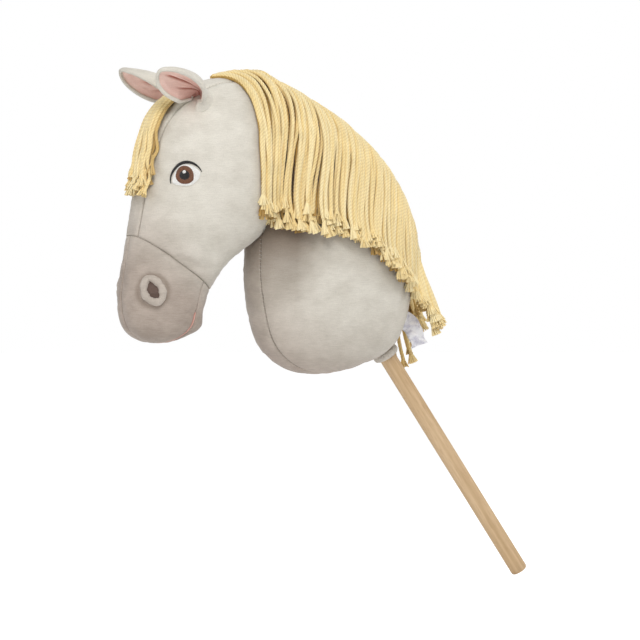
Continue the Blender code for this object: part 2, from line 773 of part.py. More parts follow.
def add_nostrils():
    place = (NOSTRIL_STATION, NOSTRIL_ANGLE, NOSTRIL_TILT)
    inner = almond(NOSTRIL_LENGTH - NOSTRIL_MARGIN, NOSTRIL_HEIGHT - NOSTRIL_MARGIN)
    add_patches("nostril_lining", place, inner, NOSTRIL_LAYER, "muzzle_plush", spokes=12)
    around, sides = 16, 6
    outline = almond(NOSTRIL_LENGTH, NOSTRIL_HEIGHT)
    turns = np.arange(around) * 2 * math.pi / around
    reach = np.array([outline(a) for a in turns]) - RIM_RADIUS
    right, up = reach * np.cos(turns), reach * np.sin(turns)
    t, angle = patch_place(HEAD, place[0], place[1], right, up, place[2])
    line = HEAD.point(t, angle, RIM_RADIUS + RIM_LIFT)
    outward = HEAD.normal(t, angle)
    tangent = unit(np.roll(line, -1, 0) - np.roll(line, 1, 0))
    side = unit(np.cross(tangent, outward))
    points = []
    for p, o, s in zip(line, outward, side):
        for k in range(sides):
            a = 2 * math.pi * k / sides
            points.append(p + RIM_RADIUS * (o * math.cos(a) + s * math.sin(a)))
    faces = []
    for i in range(around):
        j = (i + 1) % around
        for k in range(sides):
            n = (k + 1) % sides
            faces.append((i * sides + k, i * sides + n, j * sides + n, j * sides + k))
    add_pair(np.array(points), faces, "nostril_rim", "muzzle_plush")


# Ears


def ear_frame():
    """Origin and axes of the left ear: across its root, along the ear, and out of its opening."""
    along = unit(np.array(EAR_DIRECTION))
    across = np.array(EAR_HINGE_LINE)
    across = unit(across - along * np.dot(along, across))
    surface = HEAD.point(np.float64(EAR_STATION), np.float64(EAR_ANGLE))
    normal = HEAD.normal(np.float64(EAR_STATION), np.float64(EAR_ANGLE))
    root = surface + normal * (EAR_ROOT_RADIUS + EAR_ROOT_LIFT)
    return root, across, along, np.cross(across, along)


def ear_half_width(a):
    """Half the width of the flat ear at share a of its length: a narrow root and a round tip."""
    swelling = min(a / EAR_WIDEST, 1.0)
    swelling = swelling**2 * (3 - 2 * swelling)
    past = max(a - EAR_WIDEST, 0.0) / (EAR_TIP_SHARE - EAR_WIDEST)
    tip = (1 - past**EAR_TIP_ROUNDING) ** (1 / EAR_TIP_ROUNDING)
    return EAR_HALF_WIDTH * (EAR_ROOT_SHARE + (1 - EAR_ROOT_SHARE) * swelling) * tip


def ear_grid(lift, turned_out, inset=0.0):
    """A rolled leaf: rows run from the root to the tip, columns across the cup."""
    root, across, along, opening = ear_frame()
    start = EAR_ROOT_RADIUS + EAR_LAYER_GAP + inset
    grid = np.zeros((EAR_ROWS, EAR_COLUMNS, 3))
    for r, a in enumerate(np.linspace(0, 1, EAR_ROWS)):
        half = ear_half_width(a) - inset
        roll = math.radians(EAR_ROLLS[0] + (EAR_ROLLS[1] - EAR_ROLLS[0]) * a)
        radius = max(half, FABRIC) / roll
        reach = start + a * (EAR_LENGTH - EAR_ROOT_RADIUS - 2 * inset)
        twist = math.radians(turned_out) * min(a / 0.5, 1.0)
        sideways = across * math.cos(twist) - opening * math.sin(twist)
        outwards = opening * math.cos(twist) + across * math.sin(twist)
        lean = EAR_LEAN * math.sin(math.pi * a)
        for c, b in enumerate(np.linspace(-1, 1, EAR_COLUMNS)):
            turn = b * roll
            x = (radius - lift) * math.sin(turn)
            z = radius - (radius - lift) * math.cos(turn)
            grid[r, c] = root + sideways * x + along * reach + outwards * (z - lean)
    return grid


def add_ears():
    root, across, along, opening = ear_frame()
    half = EAR_ROOT_LENGTH / 2
    rings = [
        (EAR_ROOT_RADIUS * 0.4, -half),
        (EAR_ROOT_RADIUS * 0.7, -half * 0.8),
        (EAR_ROOT_RADIUS, -half * 0.4),
        (EAR_ROOT_RADIUS, half * 0.4),
        (EAR_ROOT_RADIUS * 0.7, half * 0.8),
        (EAR_ROOT_RADIUS * 0.4, half),
    ]
    for name, flip in (("left", np.array), ("right", mirrored)):
        turned = EAR_TWISTS[name]
        cover, backing = ear_grid(0.0, turned), ear_grid(FABRIC, turned)
        lining = ear_grid(FABRIC + EAR_LAYER_GAP, turned, EAR_HEM)
        inside = ear_grid(FABRIC + EAR_LAYER_GAP + EAR_LINING, turned, EAR_HEM)
        hinge = flip(root)
        pieces = [
            add_slab(f"ear_cover_{name}", flip(cover), flip(backing), "plush"),
            add_slab(f"ear_lining_{name}", flip(lining), flip(inside), "rose_plush"),
            add_rod(f"ear_root_{name}", rings, 12, "plush", hinge, flip(across), flip(along)),
        ]
        for piece in pieces:
            turn_about(piece, hinge)


# Mane, forelock and label


def crest_line():
    """Points along the top of the head and down the back of the neck, and their normals."""
    poll = np.linspace(MANE_START, 1.0, 6)
    back = np.linspace(9.55, MANE_STOP, 16)
    points = np.concatenate([HEAD.point(poll, np.zeros(6)), NECK.point(back, np.full(16, 180.0))])
    normals = np.concatenate([HEAD.normal(poll, np.zeros(6)), NECK.normal(back, np.full(16, 180.0))])
    return points, normals


def add_mane_tape():
    points, normals = crest_line()
    points, normals = points[1:-1], normals[1:-1]
    centres = points + normals * TAPE_LIFT
    width = np.full(len(points), TAPE_WIDTH)
    add_ribbon("mane_tape", centres, normals, width, TAPE_THICKNESS, "tape")


class Mane:
    """Where the yarn of the left side lies: from the crest, swept back, then hanging down."""

    def __init__(self):
        points, normals = crest_line()
        length = np.concatenate([[0], np.cumsum(np.linalg.norm(np.diff(points, axis=0), axis=1))])
        self.share = length / length[-1]
        self.crest, self.outward = points, normals
        self.sweep = unit(np.gradient(points, self.share, axis=0))
        self.ends = np.array(MANE_ENDS, float) * MM
        self.skin = self.body_tree()

    @staticmethod
    def body_tree():
        """The head and neck skins together, to lay the yarn on."""
        points, faces = [], []
        around = np.linspace(0, 360, 49)[:-1]
        for form in (HEAD, NECK):
            lines = np.linspace(0.05, form.last - 0.05, 60)
            t, angle = np.meshgrid(lines, around, indexing="ij")
            first = len(points)
            points.extend(form.point(t, angle).reshape(-1, 3))
            faces.extend(grid_faces(*t.shape, first, wrap=True))
        return BVHTree.FromPolygons([Vector(p) for p in points], faces)

    def pick(self, values, u):
        return np.array([np.interp(u, self.share, values[:, k]) for k in range(3)])

    def end(self, u):
        place = u * (len(self.ends) - 1)
        low = min(int(place), len(self.ends) - 2)
        x, z = self.ends[low] + (self.ends[low + 1] - self.ends[low]) * (place - low)
        return np.array([x, 0.0, z])

    def side(self, x, z, least):
        """How far out the left side of the body is at x, z, and never less than least."""
        start = Vector((x, -0.3, z))
        hit = self.skin.ray_cast(start, Vector((0, 1, 0)), 0.3)[0]
        return max(least, -hit.y + LOCK_CLEARANCE if hit else 0.0)

    def place(self, u, v):
        """The point at share v of the way down the yarn that is sewn at share u of the crest."""
        root = self.pick(self.crest, u) + self.pick(self.outward, u) * LOCK_ROOT_LIFT
        end = self.end(u)
        reach = np.linalg.norm(end - root)
        rise = self.pick(self.outward, u) * (LOCK_RISE + LOCK_REAR_RISE * u**4)
        bend = root + (self.pick(self.sweep, u) * LOCK_SWEEP + rise) * reach
        flat = (1 - v) ** 2 * root + 2 * v * (1 - v) * bend + v**2 * end
        spread = LOCK_SPREAD * (1 - LOCK_REAR_CLOSING * u**3)
        least = LOCK_ROOT_SIDE + spread * min(v / 0.25, 1.0) ** 0.7 + LOCK_OPENING * v
        return np.array([flat[0], -self.side(flat[0], flat[2], least), flat[2]])


def add_mane():
    mane = Mane()
    edges = np.linspace(0, 1, LOCKS_PER_SIDE + 1)
    swell = np.array([0.55, 0.95, 1.0, 0.95, 0.55])
    for k in range(LOCKS_PER_SIDE):
        inset = LOCK_GAP_SHARE
        across = np.linspace(edges[k] + inset, edges[k + 1] - inset, LOCK_COLUMNS)
        down = np.linspace(0, 1, LOCK_STEPS) ** 1.4
        bottom = np.array([[mane.place(u, v) for u in across] for v in down])
        hanging = np.clip(down / 0.4, 0, 1)[:, None, None]
        crest = np.array([mane.pick(mane.outward, u) for u in across])[None, :, :]
        outward = unit(crest * (1 - hanging) + np.array([0.0, -1.0, 0.0]) * hanging)
        depth = LOCK_THICKNESS * (1 + 0.5 * np.cos(np.minimum(down / 0.5, 1) * math.pi / 2))
        top = bottom + outward * depth[:, None, None] * swell[None, :, None]
        top[..., 1] = np.minimum(top[..., 1], bottom[0, :, 1].max())
        add_slab(f"mane_left_{k + 1}", top, bottom, "yarn")
        add_slab(f"mane_right_{k + 1}", mirrored(top), mirrored(bottom), "yarn")


def add_forelock():
    share = np.linspace(0, 1, 9)
    lines = FORELOCK_START + (FORELOCK_END - FORELOCK_START) * share
    angles = FORELOCK_DRIFT * share
    centres = HEAD.point(lines, angles, FORELOCK_LIFT)
    normals = HEAD.normal(lines, angles)
    width = FORELOCK_ROOT_WIDTH + (FORELOCK_END_WIDTH - FORELOCK_ROOT_WIDTH) * share**0.8
    depth = FORELOCK_THICKNESS * (0.6 + 0.4 * np.sin(np.minimum(share / 0.3, 1) * math.pi / 2))
    along = unit(np.gradient(centres, axis=0))
    side = unit(np.cross(along, normals))
    spread = np.array([-0.5, -0.25, 0.0, 0.25, 0.5])[None, :, None] * width.reshape(-1, 1, 1)
    bottom = centres[:, None, :] + side[:, None, :] * spread
    crown = np.array([0.45, 0.9, 1.0, 0.9, 0.45])[None, :, None] * depth.reshape(-1, 1, 1)
    lock = add_slab("forelock", bottom + normals[:, None, :] * crown, bottom, "yarn")
    turn_about(lock, centres[0])


def add_label():
    """A folded satin tag whose edge is sewn into the crest seam near the stick."""
    place = NECK.point(np.float64(LABEL_STATION), np.float64(180.0))
    down = unit(np.array(LABEL_DIRECTION))
    across = unit(np.cross(down, np.array([0.0, 1.0, 0.0])))
    rows, columns = 4, 3
    bottom = np.zeros((rows, columns, 3))
    for r, a in enumerate(np.linspace(0, 1, rows)):
        for c, b in enumerate(np.linspace(-0.5, 0.5, columns)):
            reach = LABEL_GAP + a * LABEL_LENGTH
            bottom[r, c] = place + down * reach + across * b * LABEL_WIDTH
    half = np.array([0.0, LABEL_THICKNESS / 2, 0.0])
    label = add_slab("care_label", bottom - half, bottom + half, "label_satin")
    turn_about(label, place + down * LABEL_GAP)


def main():
    clear_scene()
    head_lines = (HEAD_INNER_START,) + HEAD_LINES
    head_space = add_stuffed("head_space", HEAD, head_lines, HEAD_ANGLES, HEAD_TO_NECK_GAP, "plush")
    as_cutter(head_space)
    top = STICK_LENGTH + PAD_THICKNESS + 2 * PAD_GAP
    hole = [(SLEEVE_HOLE_RADIUS, SLEEVE_HOLE_START), (SLEEVE_HOLE_RADIUS, top)]
    stick_space = as_cutter(add_rod("stick_space", hole, 24, "filling"))
    add_head_cover()
    add_mouth_lining()
    add_neck_cover(head_space)
    add_fillings(head_space, stick_space)
    stick = add_stick()
    sleeve = add_stick_holder()
    add_tacks(stick, sleeve)
    add_eyes()
    add_nostrils()
    add_ears()
    add_mane_tape()
    add_mane()
    add_forelock()
    add_label()


main()
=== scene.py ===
# %% [markdown]
# # A plush hobby horse
#
# A child's hobby horse is a stuffed cloth head on a wooden stick. The imported model holds its solids
# at their real size. This lesson dresses them: soft plush made with a cloth simulation, a mane of
# twisted yarn made with Geometry Nodes, embroidered eyes, and a plain wooden dowel.
#
# First comes the imported model. Most pieces made later ride on one of its bodies.

# %% Load the imported model
import math

import bmesh
import bpy
import numpy as np
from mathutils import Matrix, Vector
from mathutils.bvhtree import BVHTree


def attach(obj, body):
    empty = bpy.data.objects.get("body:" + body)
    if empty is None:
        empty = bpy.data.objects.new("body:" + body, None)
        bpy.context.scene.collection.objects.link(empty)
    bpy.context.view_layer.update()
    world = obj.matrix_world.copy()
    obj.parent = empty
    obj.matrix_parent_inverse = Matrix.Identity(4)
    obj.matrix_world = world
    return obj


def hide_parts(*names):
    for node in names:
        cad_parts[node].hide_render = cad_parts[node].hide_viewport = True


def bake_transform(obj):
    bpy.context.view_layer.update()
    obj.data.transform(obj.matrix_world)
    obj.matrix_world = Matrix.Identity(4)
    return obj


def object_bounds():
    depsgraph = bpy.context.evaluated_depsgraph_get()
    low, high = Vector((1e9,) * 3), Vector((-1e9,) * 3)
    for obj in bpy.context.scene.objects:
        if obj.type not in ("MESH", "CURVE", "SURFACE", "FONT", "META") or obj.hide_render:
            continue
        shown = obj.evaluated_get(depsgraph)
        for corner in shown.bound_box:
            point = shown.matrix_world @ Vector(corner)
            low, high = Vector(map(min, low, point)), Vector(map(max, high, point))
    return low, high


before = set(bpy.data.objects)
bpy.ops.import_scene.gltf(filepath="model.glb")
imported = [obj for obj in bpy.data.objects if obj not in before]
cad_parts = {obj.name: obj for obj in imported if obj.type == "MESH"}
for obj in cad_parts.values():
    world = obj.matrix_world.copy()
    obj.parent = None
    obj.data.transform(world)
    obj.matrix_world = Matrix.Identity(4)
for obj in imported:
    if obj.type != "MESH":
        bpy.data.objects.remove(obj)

MM = 0.001
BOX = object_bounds()
STAGE_Z = BOX[0].z

# %% [markdown]
# The camera stands far away with a long lens, so that nothing looks stretched. It is 25 degrees
# round from the horse's left side, towards its face. The scale of the photograph, in metres for
# each pixel, gives the width that the lens must take in. The foot of the stick is the origin, and
# its place in the photograph says where the camera aims.

# %% Camera
VIEW_TURN = math.radians(25)
VIEW_RISE = math.radians(1.5)
METRES_PER_PIXEL = 0.001175
IMAGE_PIXELS = 640
FOOT_PIXEL = (520, 571)
CAMERA_DISTANCE = 14.0
CLIP_END = 60


def add_object(name, data):
    made = bpy.data.objects.new(name, data)
    bpy.context.scene.collection.objects.link(made)
    return made


def add_camera():
    across = (IMAGE_PIXELS / 2 - FOOT_PIXEL[0]) * METRES_PER_PIXEL
    height = (FOOT_PIXEL[1] - IMAGE_PIXELS / 2) * METRES_PER_PIXEL
    sine, cosine = math.sin(VIEW_TURN), math.cos(VIEW_TURN)
    target = Vector((cosine * across, -sine * across, height))
    level = Vector((-sine, -cosine, 0))
    towards = level * math.cos(VIEW_RISE) + Vector((0, 0, math.sin(VIEW_RISE)))
    camera = add_object("camera", bpy.data.cameras.new("camera"))
    camera.location = target + towards * CAMERA_DISTANCE
    camera.rotation_mode = "QUATERNION"
    camera.rotation_quaternion = (-towards).to_track_quat("-Z", "Y")
    width = IMAGE_PIXELS * METRES_PER_PIXEL
    camera.data.lens = camera.data.sensor_width * CAMERA_DISTANCE / width
    camera.data.clip_end = CLIP_END
    bpy.context.scene.camera = camera
    print(f"camera lens {camera.data.lens:.0f} mm")


add_camera()

# %% [markdown]
# The head and the neck are soft bodies. Each is lofted through stations: a front and a back point
# of its outline, and half its width. A closed spline joins the points, and every section is a
# rounded oval. A place on a body is a station number and an angle: 0 is the face or the throat, 90
# the horse's left, 180 the back. Seams, eyes and yarn can all be placed by these two numbers.

# %% Curves and stuffed forms


def unit(v):
    return v / np.maximum(np.linalg.norm(v, axis=-1, keepdims=True), 1e-12)


def folded(angle):
    """The angle from the front line, 0 to 180, which is the same on both sides."""
    return 180 - np.abs(180 - np.mod(angle, 360))


def closed_spline(rows):
    """A smooth closed curve through the rows, one row for each unit of its parameter."""
    points = np.asarray(rows, float)
    count = len(points)
    step = np.roll(np.eye(count), 1, axis=1)
    system = 4 * np.eye(count) + step + step.T
    slopes = np.linalg.solve(system, 3 * (np.roll(points, -1, 0) - np.roll(points, 1, 0)))

    def at(t):
        t = np.mod(np.asarray(t, float), count)
        low = np.floor(t).astype(int) % count
        high = (low + 1) % count
        f = (t - np.floor(t))[..., None]
        start = (2 * f**3 - 3 * f**2 + 1) * points[low] + (f**3 - 2 * f**2 + f) * slopes[low]
        end = (3 * f**2 - 2 * f**3) * points[high] + (f**3 - f**2) * slopes[high]
        return start + end

    return at


class Form:
    """A stuffed body, closed by a pole at each end."""

    STEP_T = 0.002
    STEP_ANGLE = 0.05

    def __init__(self, start, stations, end, squareness, bumps=()):
        loop = [(*start, 0)]
        loop += [(fx, fz, half) for fx, fz, _, _, half in stations]
        loop += [(*end, 0)]
        loop += [(bx, bz, -half) for _, _, bx, bz, half in reversed(stations)]
        self.outline = closed_spline(np.array(loop) * MM)
        self.last = len(stations) + 1
        self.squareness = squareness
        self.bumps = bumps
        self.puff = None
        self.facing = 1
        half_way = np.float64(self.last / 2)
        outward = self.section(half_way, 90.0) - self.middle(half_way)
        if np.dot(self.slope_normal(self.section, half_way, np.float64(90.0)), outward) < 0:
            self.facing = -1

    def section(self, t, angle):
        front = self.outline(t)
        back = self.outline(-np.asarray(t, float))
        middle = (front[..., :2] + back[..., :2]) / 2
        reach = (front[..., :2] - back[..., :2]) / 2
        turn = np.radians(angle)
        power = 2 / self.squareness
        across = np.sign(np.cos(turn)) * np.abs(np.cos(turn)) ** power
        aside = np.sign(np.sin(turn)) * np.abs(np.sin(turn)) ** power
        flat = middle + reach * across[..., None]
        return np.stack([flat[..., 0], -front[..., 2] * aside, flat[..., 1]], axis=-1)

    def middle(self, t):
        both = (self.outline(t) + self.outline(-np.asarray(t, float))) / 2
        return np.stack([both[..., 0], 0 * both[..., 0], both[..., 1]], axis=-1)

    def slope_normal(self, place, t, angle):
        along = place(t + self.STEP_T, angle) - place(t - self.STEP_T, angle)
        around = place(t, angle + self.STEP_ANGLE) - place(t, angle - self.STEP_ANGLE)
        return unit(np.cross(along, around)) * self.facing

    def swelling(self, t, angle):
        total = np.zeros(np.broadcast(t, angle).shape)
        for at_t, at_angle, reach_t, reach_angle, height in self.bumps:
            near = ((t - at_t) / reach_t) ** 2 + ((folded(angle) - at_angle) / reach_angle) ** 2
            total = total + height * MM * np.exp(-near)
        return total if self.puff is None else total + self.puff(t, angle)

    def skin(self, t, angle):
        t, angle = np.broadcast_arrays(np.asarray(t, float), np.asarray(angle, float))
        outward = self.slope_normal(self.section, t, angle)
        return self.section(t, angle) + outward * self.swelling(t, angle)[..., None]

    def normal(self, t, angle):
        t, angle = np.broadcast_arrays(np.asarray(t, float), np.asarray(angle, float))
        return self.slope_normal(self.skin, t, angle)

    def point(self, t, angle, lift=0.0):
        return self.skin(t, angle) + self.normal(t, angle) * np.asarray(lift)[..., None]

    def steps(self, t, angle):
        """Metres moved for one station along, and for one degree around, at a place."""
        along = self.skin(t + self.STEP_T, angle) - self.skin(t - self.STEP_T, angle)
        around = self.skin(t, angle + self.STEP_ANGLE) - self.skin(t, angle - self.STEP_ANGLE)
        return along / (2 * self.STEP_T), around / (2 * self.STEP_ANGLE)


# %% [markdown]
# The stations are the same as those of the solids, in millimetres: front x and z, back x and z,
# half width. The bumps are soft swellings, such as the cheek, and hollows: station, angle, reach
# in stations, reach in degrees, height.

# %% The head and the neck
HEAD = Form(
    (-317, 502),
    (
        (-330, 572, -330, 430, 40),
        (-363, 582, -336, 408, 52),
        (-399, 580, -346, 393, 57),
        (-433, 565, -360, 382, 58),
        (-463, 539, -372, 373, 56),
        (-480, 505, -383, 363, 52.5),
        (-491, 465, -392, 352, 47.5),
        (-499, 423, -400, 340, 43),
        (-506, 383, -407, 328, 40),
        (-512, 348, -411, 315, 39),
        (-514, 320, -416, 302, 38),
        (-507, 296, -424, 289, 34),
        (-492, 279, -443, 277, 23),
    ),
    (-469, 272),
    2.35,
    (
        (3.7, 122, 1.5, 34, 4.5),
        (4.9, 46, 1.0, 20, 3.0),
        (6.0, 70, 0.9, 20, -2.5),
        (8.4, 88, 1.3, 34, -3.0),
        (10.3, 66, 0.9, 24, 4.5),
        (12.2, 30, 0.9, 34, 3.0),
        (11.6, 172, 0.8, 34, 5.5),
    ),
)
NECK = Form(
    (-177, 261),
    (
        (-215, 243, -159, 284, 28),
        (-274, 234, -148, 318, 44),
        (-317, 249, -145, 353, 54),
        (-339, 275, -148, 390, 60),
        (-349, 311, -159, 427, 62),
        (-353, 350, -179, 464, 60),
        (-351, 388, -209, 499, 57),
        (-353, 426, -247, 530, 53),
        (-361, 462, -288, 554, 48),
        (-375, 498, -330, 570, 39),
    ),
    (-365, 540),
    2.2,
)
HEAD_START, MUZZLE_SEAM, LIP_CORNER, LIP_END = 1.6, 8.6, 10.3, 13.92
FOREHEAD_HALF, LIP_LINE, JAW_ANGLE, GUSSET_HALF = 20, 128, 164, 21
NECK_HOLE, NECK_TOP = 0.45, 9.6
STICK_LEAN = math.radians(34.2)
STICK_UP = np.array([-math.sin(STICK_LEAN), 0.0, math.cos(STICK_LEAN)])
STICK_FRONT = np.array([-math.cos(STICK_LEAN), 0.0, -math.sin(STICK_LEAN)])
STICK_SIDE = np.array([0.0, 1.0, 0.0])
print("head stations", HEAD.last, "neck stations", NECK.last)

# %% [markdown]
# Meshes are made from grids of points. One helper turns points and faces into an object whose
# faces point outwards, and another closes the gap between an upper and a lower grid, which gives a
# sheet of cloth its thickness. The right side of the toy is the left side mirrored, so most steps
# run once for each side.

# %% Mesh helpers


def add_mesh(name, points, faces, finish, sharp=50):
    mesh = bpy.data.meshes.new(name)
    mesh.from_pydata([tuple(map(float, p)) for p in points], [], [tuple(map(int, f)) for f in faces])
    work = bmesh.new()
    work.from_mesh(mesh)
    bmesh.ops.recalc_face_normals(work, faces=work.faces)
    if work.calc_volume(signed=True) < 0:
        bmesh.ops.reverse_faces(work, faces=work.faces)
    work.to_mesh(mesh)
    work.free()
    mesh.shade_smooth()
    mesh.set_sharp_from_angle(angle=math.radians(sharp))
    mesh.materials.append(finish)
    return add_object(name, mesh)


def grid_faces(rows, columns, first=0, wrap=False):
    across = columns if wrap else columns - 1
    r, c = np.meshgrid(np.arange(rows - 1), np.arange(across), indexing="ij")
    here = first + r * columns + c
    beside = first + r * columns + (c + 1) % columns
    return np.stack([here, beside, beside + columns, here + columns], axis=-1).reshape(-1, 4).tolist()


def ring_faces(rows, columns):
    """Faces of a grid that is closed both ways."""
    faces, last = grid_faces(rows, columns, wrap=True), (rows - 1) * columns
    return faces + [(last + c, last + (c + 1) % columns, (c + 1) % columns, c) for c in range(columns)]


def capped_faces(rows, columns):
    """Faces of a tube that closes at a point at each end. These two points follow its grid."""
    faces = grid_faces(rows, columns, wrap=True)
    last, end = (rows - 1) * columns, rows * columns
    for c in range(columns):
        after = (c + 1) % columns
        faces += [(end, after, c), (end + 1, last + c, last + after)]
    return faces


def add_slab(name, top, bottom, finish, sharp=50):
    """A closed solid between two grids of points with the same rows and columns."""
    rows, columns = top.shape[:2]
    under = rows * columns
    faces = grid_faces(rows, columns)
    faces += [f[::-1] for f in grid_faces(rows, columns, under)]
    ring = list(range(columns))
    ring += [r * columns + columns - 1 for r in range(1, rows)]
    ring += [(rows - 1) * columns + c for c in range(columns - 2, -1, -1)]
    ring += [r * columns for r in range(rows - 2, 0, -1)]
    for here, after in zip(ring, ring[1:] + ring[:1]):
        faces.append((here, here + under, after + under, after))
    points = np.concatenate([top.reshape(-1, 3), bottom.reshape(-1, 3)])
    return add_mesh(name, points, faces, finish, sharp)


def mirrored(points):
    return np.asarray(points, float) * np.array([1.0, -1.0, 1.0])


SIDES = (("left", np.array), ("right", mirrored))


def set_attribute(piece, name, values):
    made = piece.data.attributes.new(name, "FLOAT", "POINT")
    made.data.foreach_set("value", np.asarray(values, np.float32).ravel())


def arc_length(points):
    """Distance run along a line of points, from its first point."""
    steps = np.linalg.norm(np.diff(points, axis=-2), axis=-1)
    start = np.zeros(steps.shape[:-1] + (1,))
    return np.concatenate([start, np.cumsum(steps, axis=-1)], axis=-1)


# %% [markdown]
# A material here is a small tree of nodes round one Principled shader. Colours that vary read the
# Object coordinates, so the pattern stays on the piece. The first helper makes nodes in any tree
# with short calls, and the second adds what a material needs.

# %% Material helpers


class Nodes:
    """Short calls that add nodes to a tree."""

    def __init__(self, tree):
        self.nodes, self.links = tree.nodes, tree.links

    def node(self, kind, links=None, **settings):
        made = self.nodes.new(kind)
        for key, value in settings.items():
            setattr(made, key, value)
        for name, value in (links or {}).items():
            if isinstance(name, int):
                socket = made.inputs[name]
            else:
                socket = next(s for s in made.inputs if s.name == name and s.enabled)
            self.put(socket, value)
        return made

    def result(self, kind, links=None, **settings):
        """The first output of a new node."""
        return self.node(kind, links, **settings).outputs[0]

    def put(self, socket, value):
        if isinstance(value, bpy.types.NodeSocket):
            self.links.new(value, socket)
        else:
            socket.default_value = value

    def math(self, operation, a, b=0.0, c=0.0):
        return self.result("ShaderNodeMath", {0: a, 1: b, 2: c}, operation=operation)


class Finish(Nodes):
    """A material with one Principled shader, and short calls for what is put round it."""

    def __init__(self, name, roughness, **sockets):
        self.material = bpy.data.materials.new(name)
        self.material.use_nodes = True
        super().__init__(self.material.node_tree)
        self.shader = self.nodes["Principled BSDF"]
        self.shader.inputs["Roughness"].default_value = roughness
        for socket, value in sockets.items():
            self.shader.inputs[socket.replace("_", " ")].default_value = value

    def place(self, scale=(1, 1, 1), turn=(0, 0, 0), kind="POINT"):
        where = self.node("ShaderNodeTexCoord").outputs["Object"]
        links = {"Vector": where, "Scale": scale, "Rotation": turn}
        return self.result("ShaderNodeMapping", links, vector_type=kind)

    def noise(self, vector, scale, detail=3.0, roughness=0.55):
        links = {"Vector": vector, "Scale": scale, "Detail": detail, "Roughness": roughness}
        return self.node("ShaderNodeTexNoise", links).outputs["Fac"]

    def attribute(self, name):
        return self.node("ShaderNodeAttribute", attribute_name=name).outputs["Fac"]

    def ramp(self, value, stops):
        made = self.node("ShaderNodeValToRGB", {"Fac": value})
        band = made.color_ramp
        while len(band.elements) < len(stops):
            band.elements.new(0.5)
        for element, (at, colour) in zip(band.elements, stops):
            element.position = at
            element.color = (*colour, 1)
        return made.outputs["Color"]

    def mix(self, amount, a, b, blend="MIX"):
        made = self.node("ShaderNodeMix", data_type="RGBA", blend_type=blend)
        colours = [s for s in made.inputs if s.type == "RGBA"]
        self.put(made.inputs[0], amount)
        for socket, value in zip(colours, (a, b)):
            self.put(socket, value if isinstance(value, bpy.types.NodeSocket) else (*value, 1))
        return [s for s in made.outputs if s.type == "RGBA"][0]

    def colour(self, value):
        self.put(self.shader.inputs["Base Color"], value)

    def bump(self, height, strength, distance=0.001, below=None):
        links = {"Height": height, "Strength": strength, "Distance": distance}
        if below:
            links["Normal"] = below
        made = self.node("ShaderNodeBump", links)
        self.put(self.shader.inputs["Normal"], made.outputs["Normal"])
        return made.outputs["Normal"]


# %% [markdown]
# Short-pile plush is matt, and its tips catch the light at a low angle, which the sheen does. The
# pile lies in patches that were brushed different ways, so the colour shifts slowly, with faint
# streaks. On this toy the nose is sprayed with a taupe dye that fades out up the face. One attribute
# holds how much of it each point took, and on the neck it holds painted shade in the same taupe. A
# second, named shade, holds painted brown shade under the mane and round the nostrils.
# The rose cloth has an attribute of painted shade instead, which darkens its creases.

# %% Plush
PLUSH = (0.780, 0.742, 0.660)
PLUSH_DARK = (0.640, 0.600, 0.522)
TAUPE_DYE_AND_SHADE = (0.420, 0.325, 0.272)
TAUPE_DYE_AND_SHADE_DARK = (0.285, 0.212, 0.172)
PAINTED_SHADE_BROWN = (0.150, 0.105, 0.070)
ROSE = (0.950, 0.700, 0.620)
ROSE_DARK = (0.860, 0.570, 0.490)
ROSE_FOLD_SHADE = (0.520, 0.190, 0.140)
PATCH_SCALE, STREAK_SCALE, PILE_SCALE = 26.0, 120.0, 900.0


def plush(name, light, dark, marks=None):
    cloth = Finish(name, 0.92, Sheen_Weight=0.25, Sheen_Roughness=0.45, Specular_IOR_Level=0.15)
    patches = cloth.noise(cloth.place((1, 1, 1.6)), PATCH_SCALE, 2.0)
    streaks = cloth.noise(cloth.place((1, 1, 7)), STREAK_SCALE, 3.0)
    pile = cloth.noise(cloth.place(), PILE_SCALE, 2.0, 0.7)
    brushed = cloth.math("MULTIPLY_ADD", streaks, 0.55, patches)
    tone = cloth.result("ShaderNodeMapRange", {"Value": brushed, "From Min": 0.55, "From Max": 1.0})
    colour = cloth.mix(tone, dark, light)
    if marks == "dye_and_shade":
        # Taupe dye on the nose, and painted shade in the same taupe on the neck and its hem.
        colour = cloth.mix(cloth.attribute("dye_and_shade"), colour, cloth.mix(tone, TAUPE_DYE_AND_SHADE_DARK, TAUPE_DYE_AND_SHADE))
        # Painted shade in brown, under the mane and round the nostrils.
        colour = cloth.mix(cloth.attribute("shade"), colour, PAINTED_SHADE_BROWN)
    elif marks == "fold_shade":
        # Painted shade in the creases of the rose cloth.
        colour = cloth.mix(cloth.attribute("fold_shade"), colour, ROSE_FOLD_SHADE)
    speckle = cloth.ramp(pile, ((0.30, (0.90, 0.90, 0.90)), (0.62, (1.0, 1.0, 1.0))))
    cloth.colour(cloth.mix(1.0, colour, speckle, "MULTIPLY"))
    lying = cloth.bump(streaks, 0.25, 0.0012)
    cloth.bump(pile, 0.35, 0.0010, lying)
    return cloth.material


plush_cloth = plush("plush", PLUSH, PLUSH_DARK, "dye_and_shade")
rose_cloth = plush("rose_plush", ROSE, ROSE_DARK, "fold_shade")
print("plush finishes made")

# %% [markdown]
# Stuffing pushes the cloth outwards and the seams hold it in. A cloth simulation does just that:
# each body starts a little thin, its seam points are pinned, and pressure fills it while the cloth
# may stretch by a few per cent. Only the height of the result is kept, as a smooth map over
# station and angle, so that every panel, eye and strand made later lies on the stuffed surface.

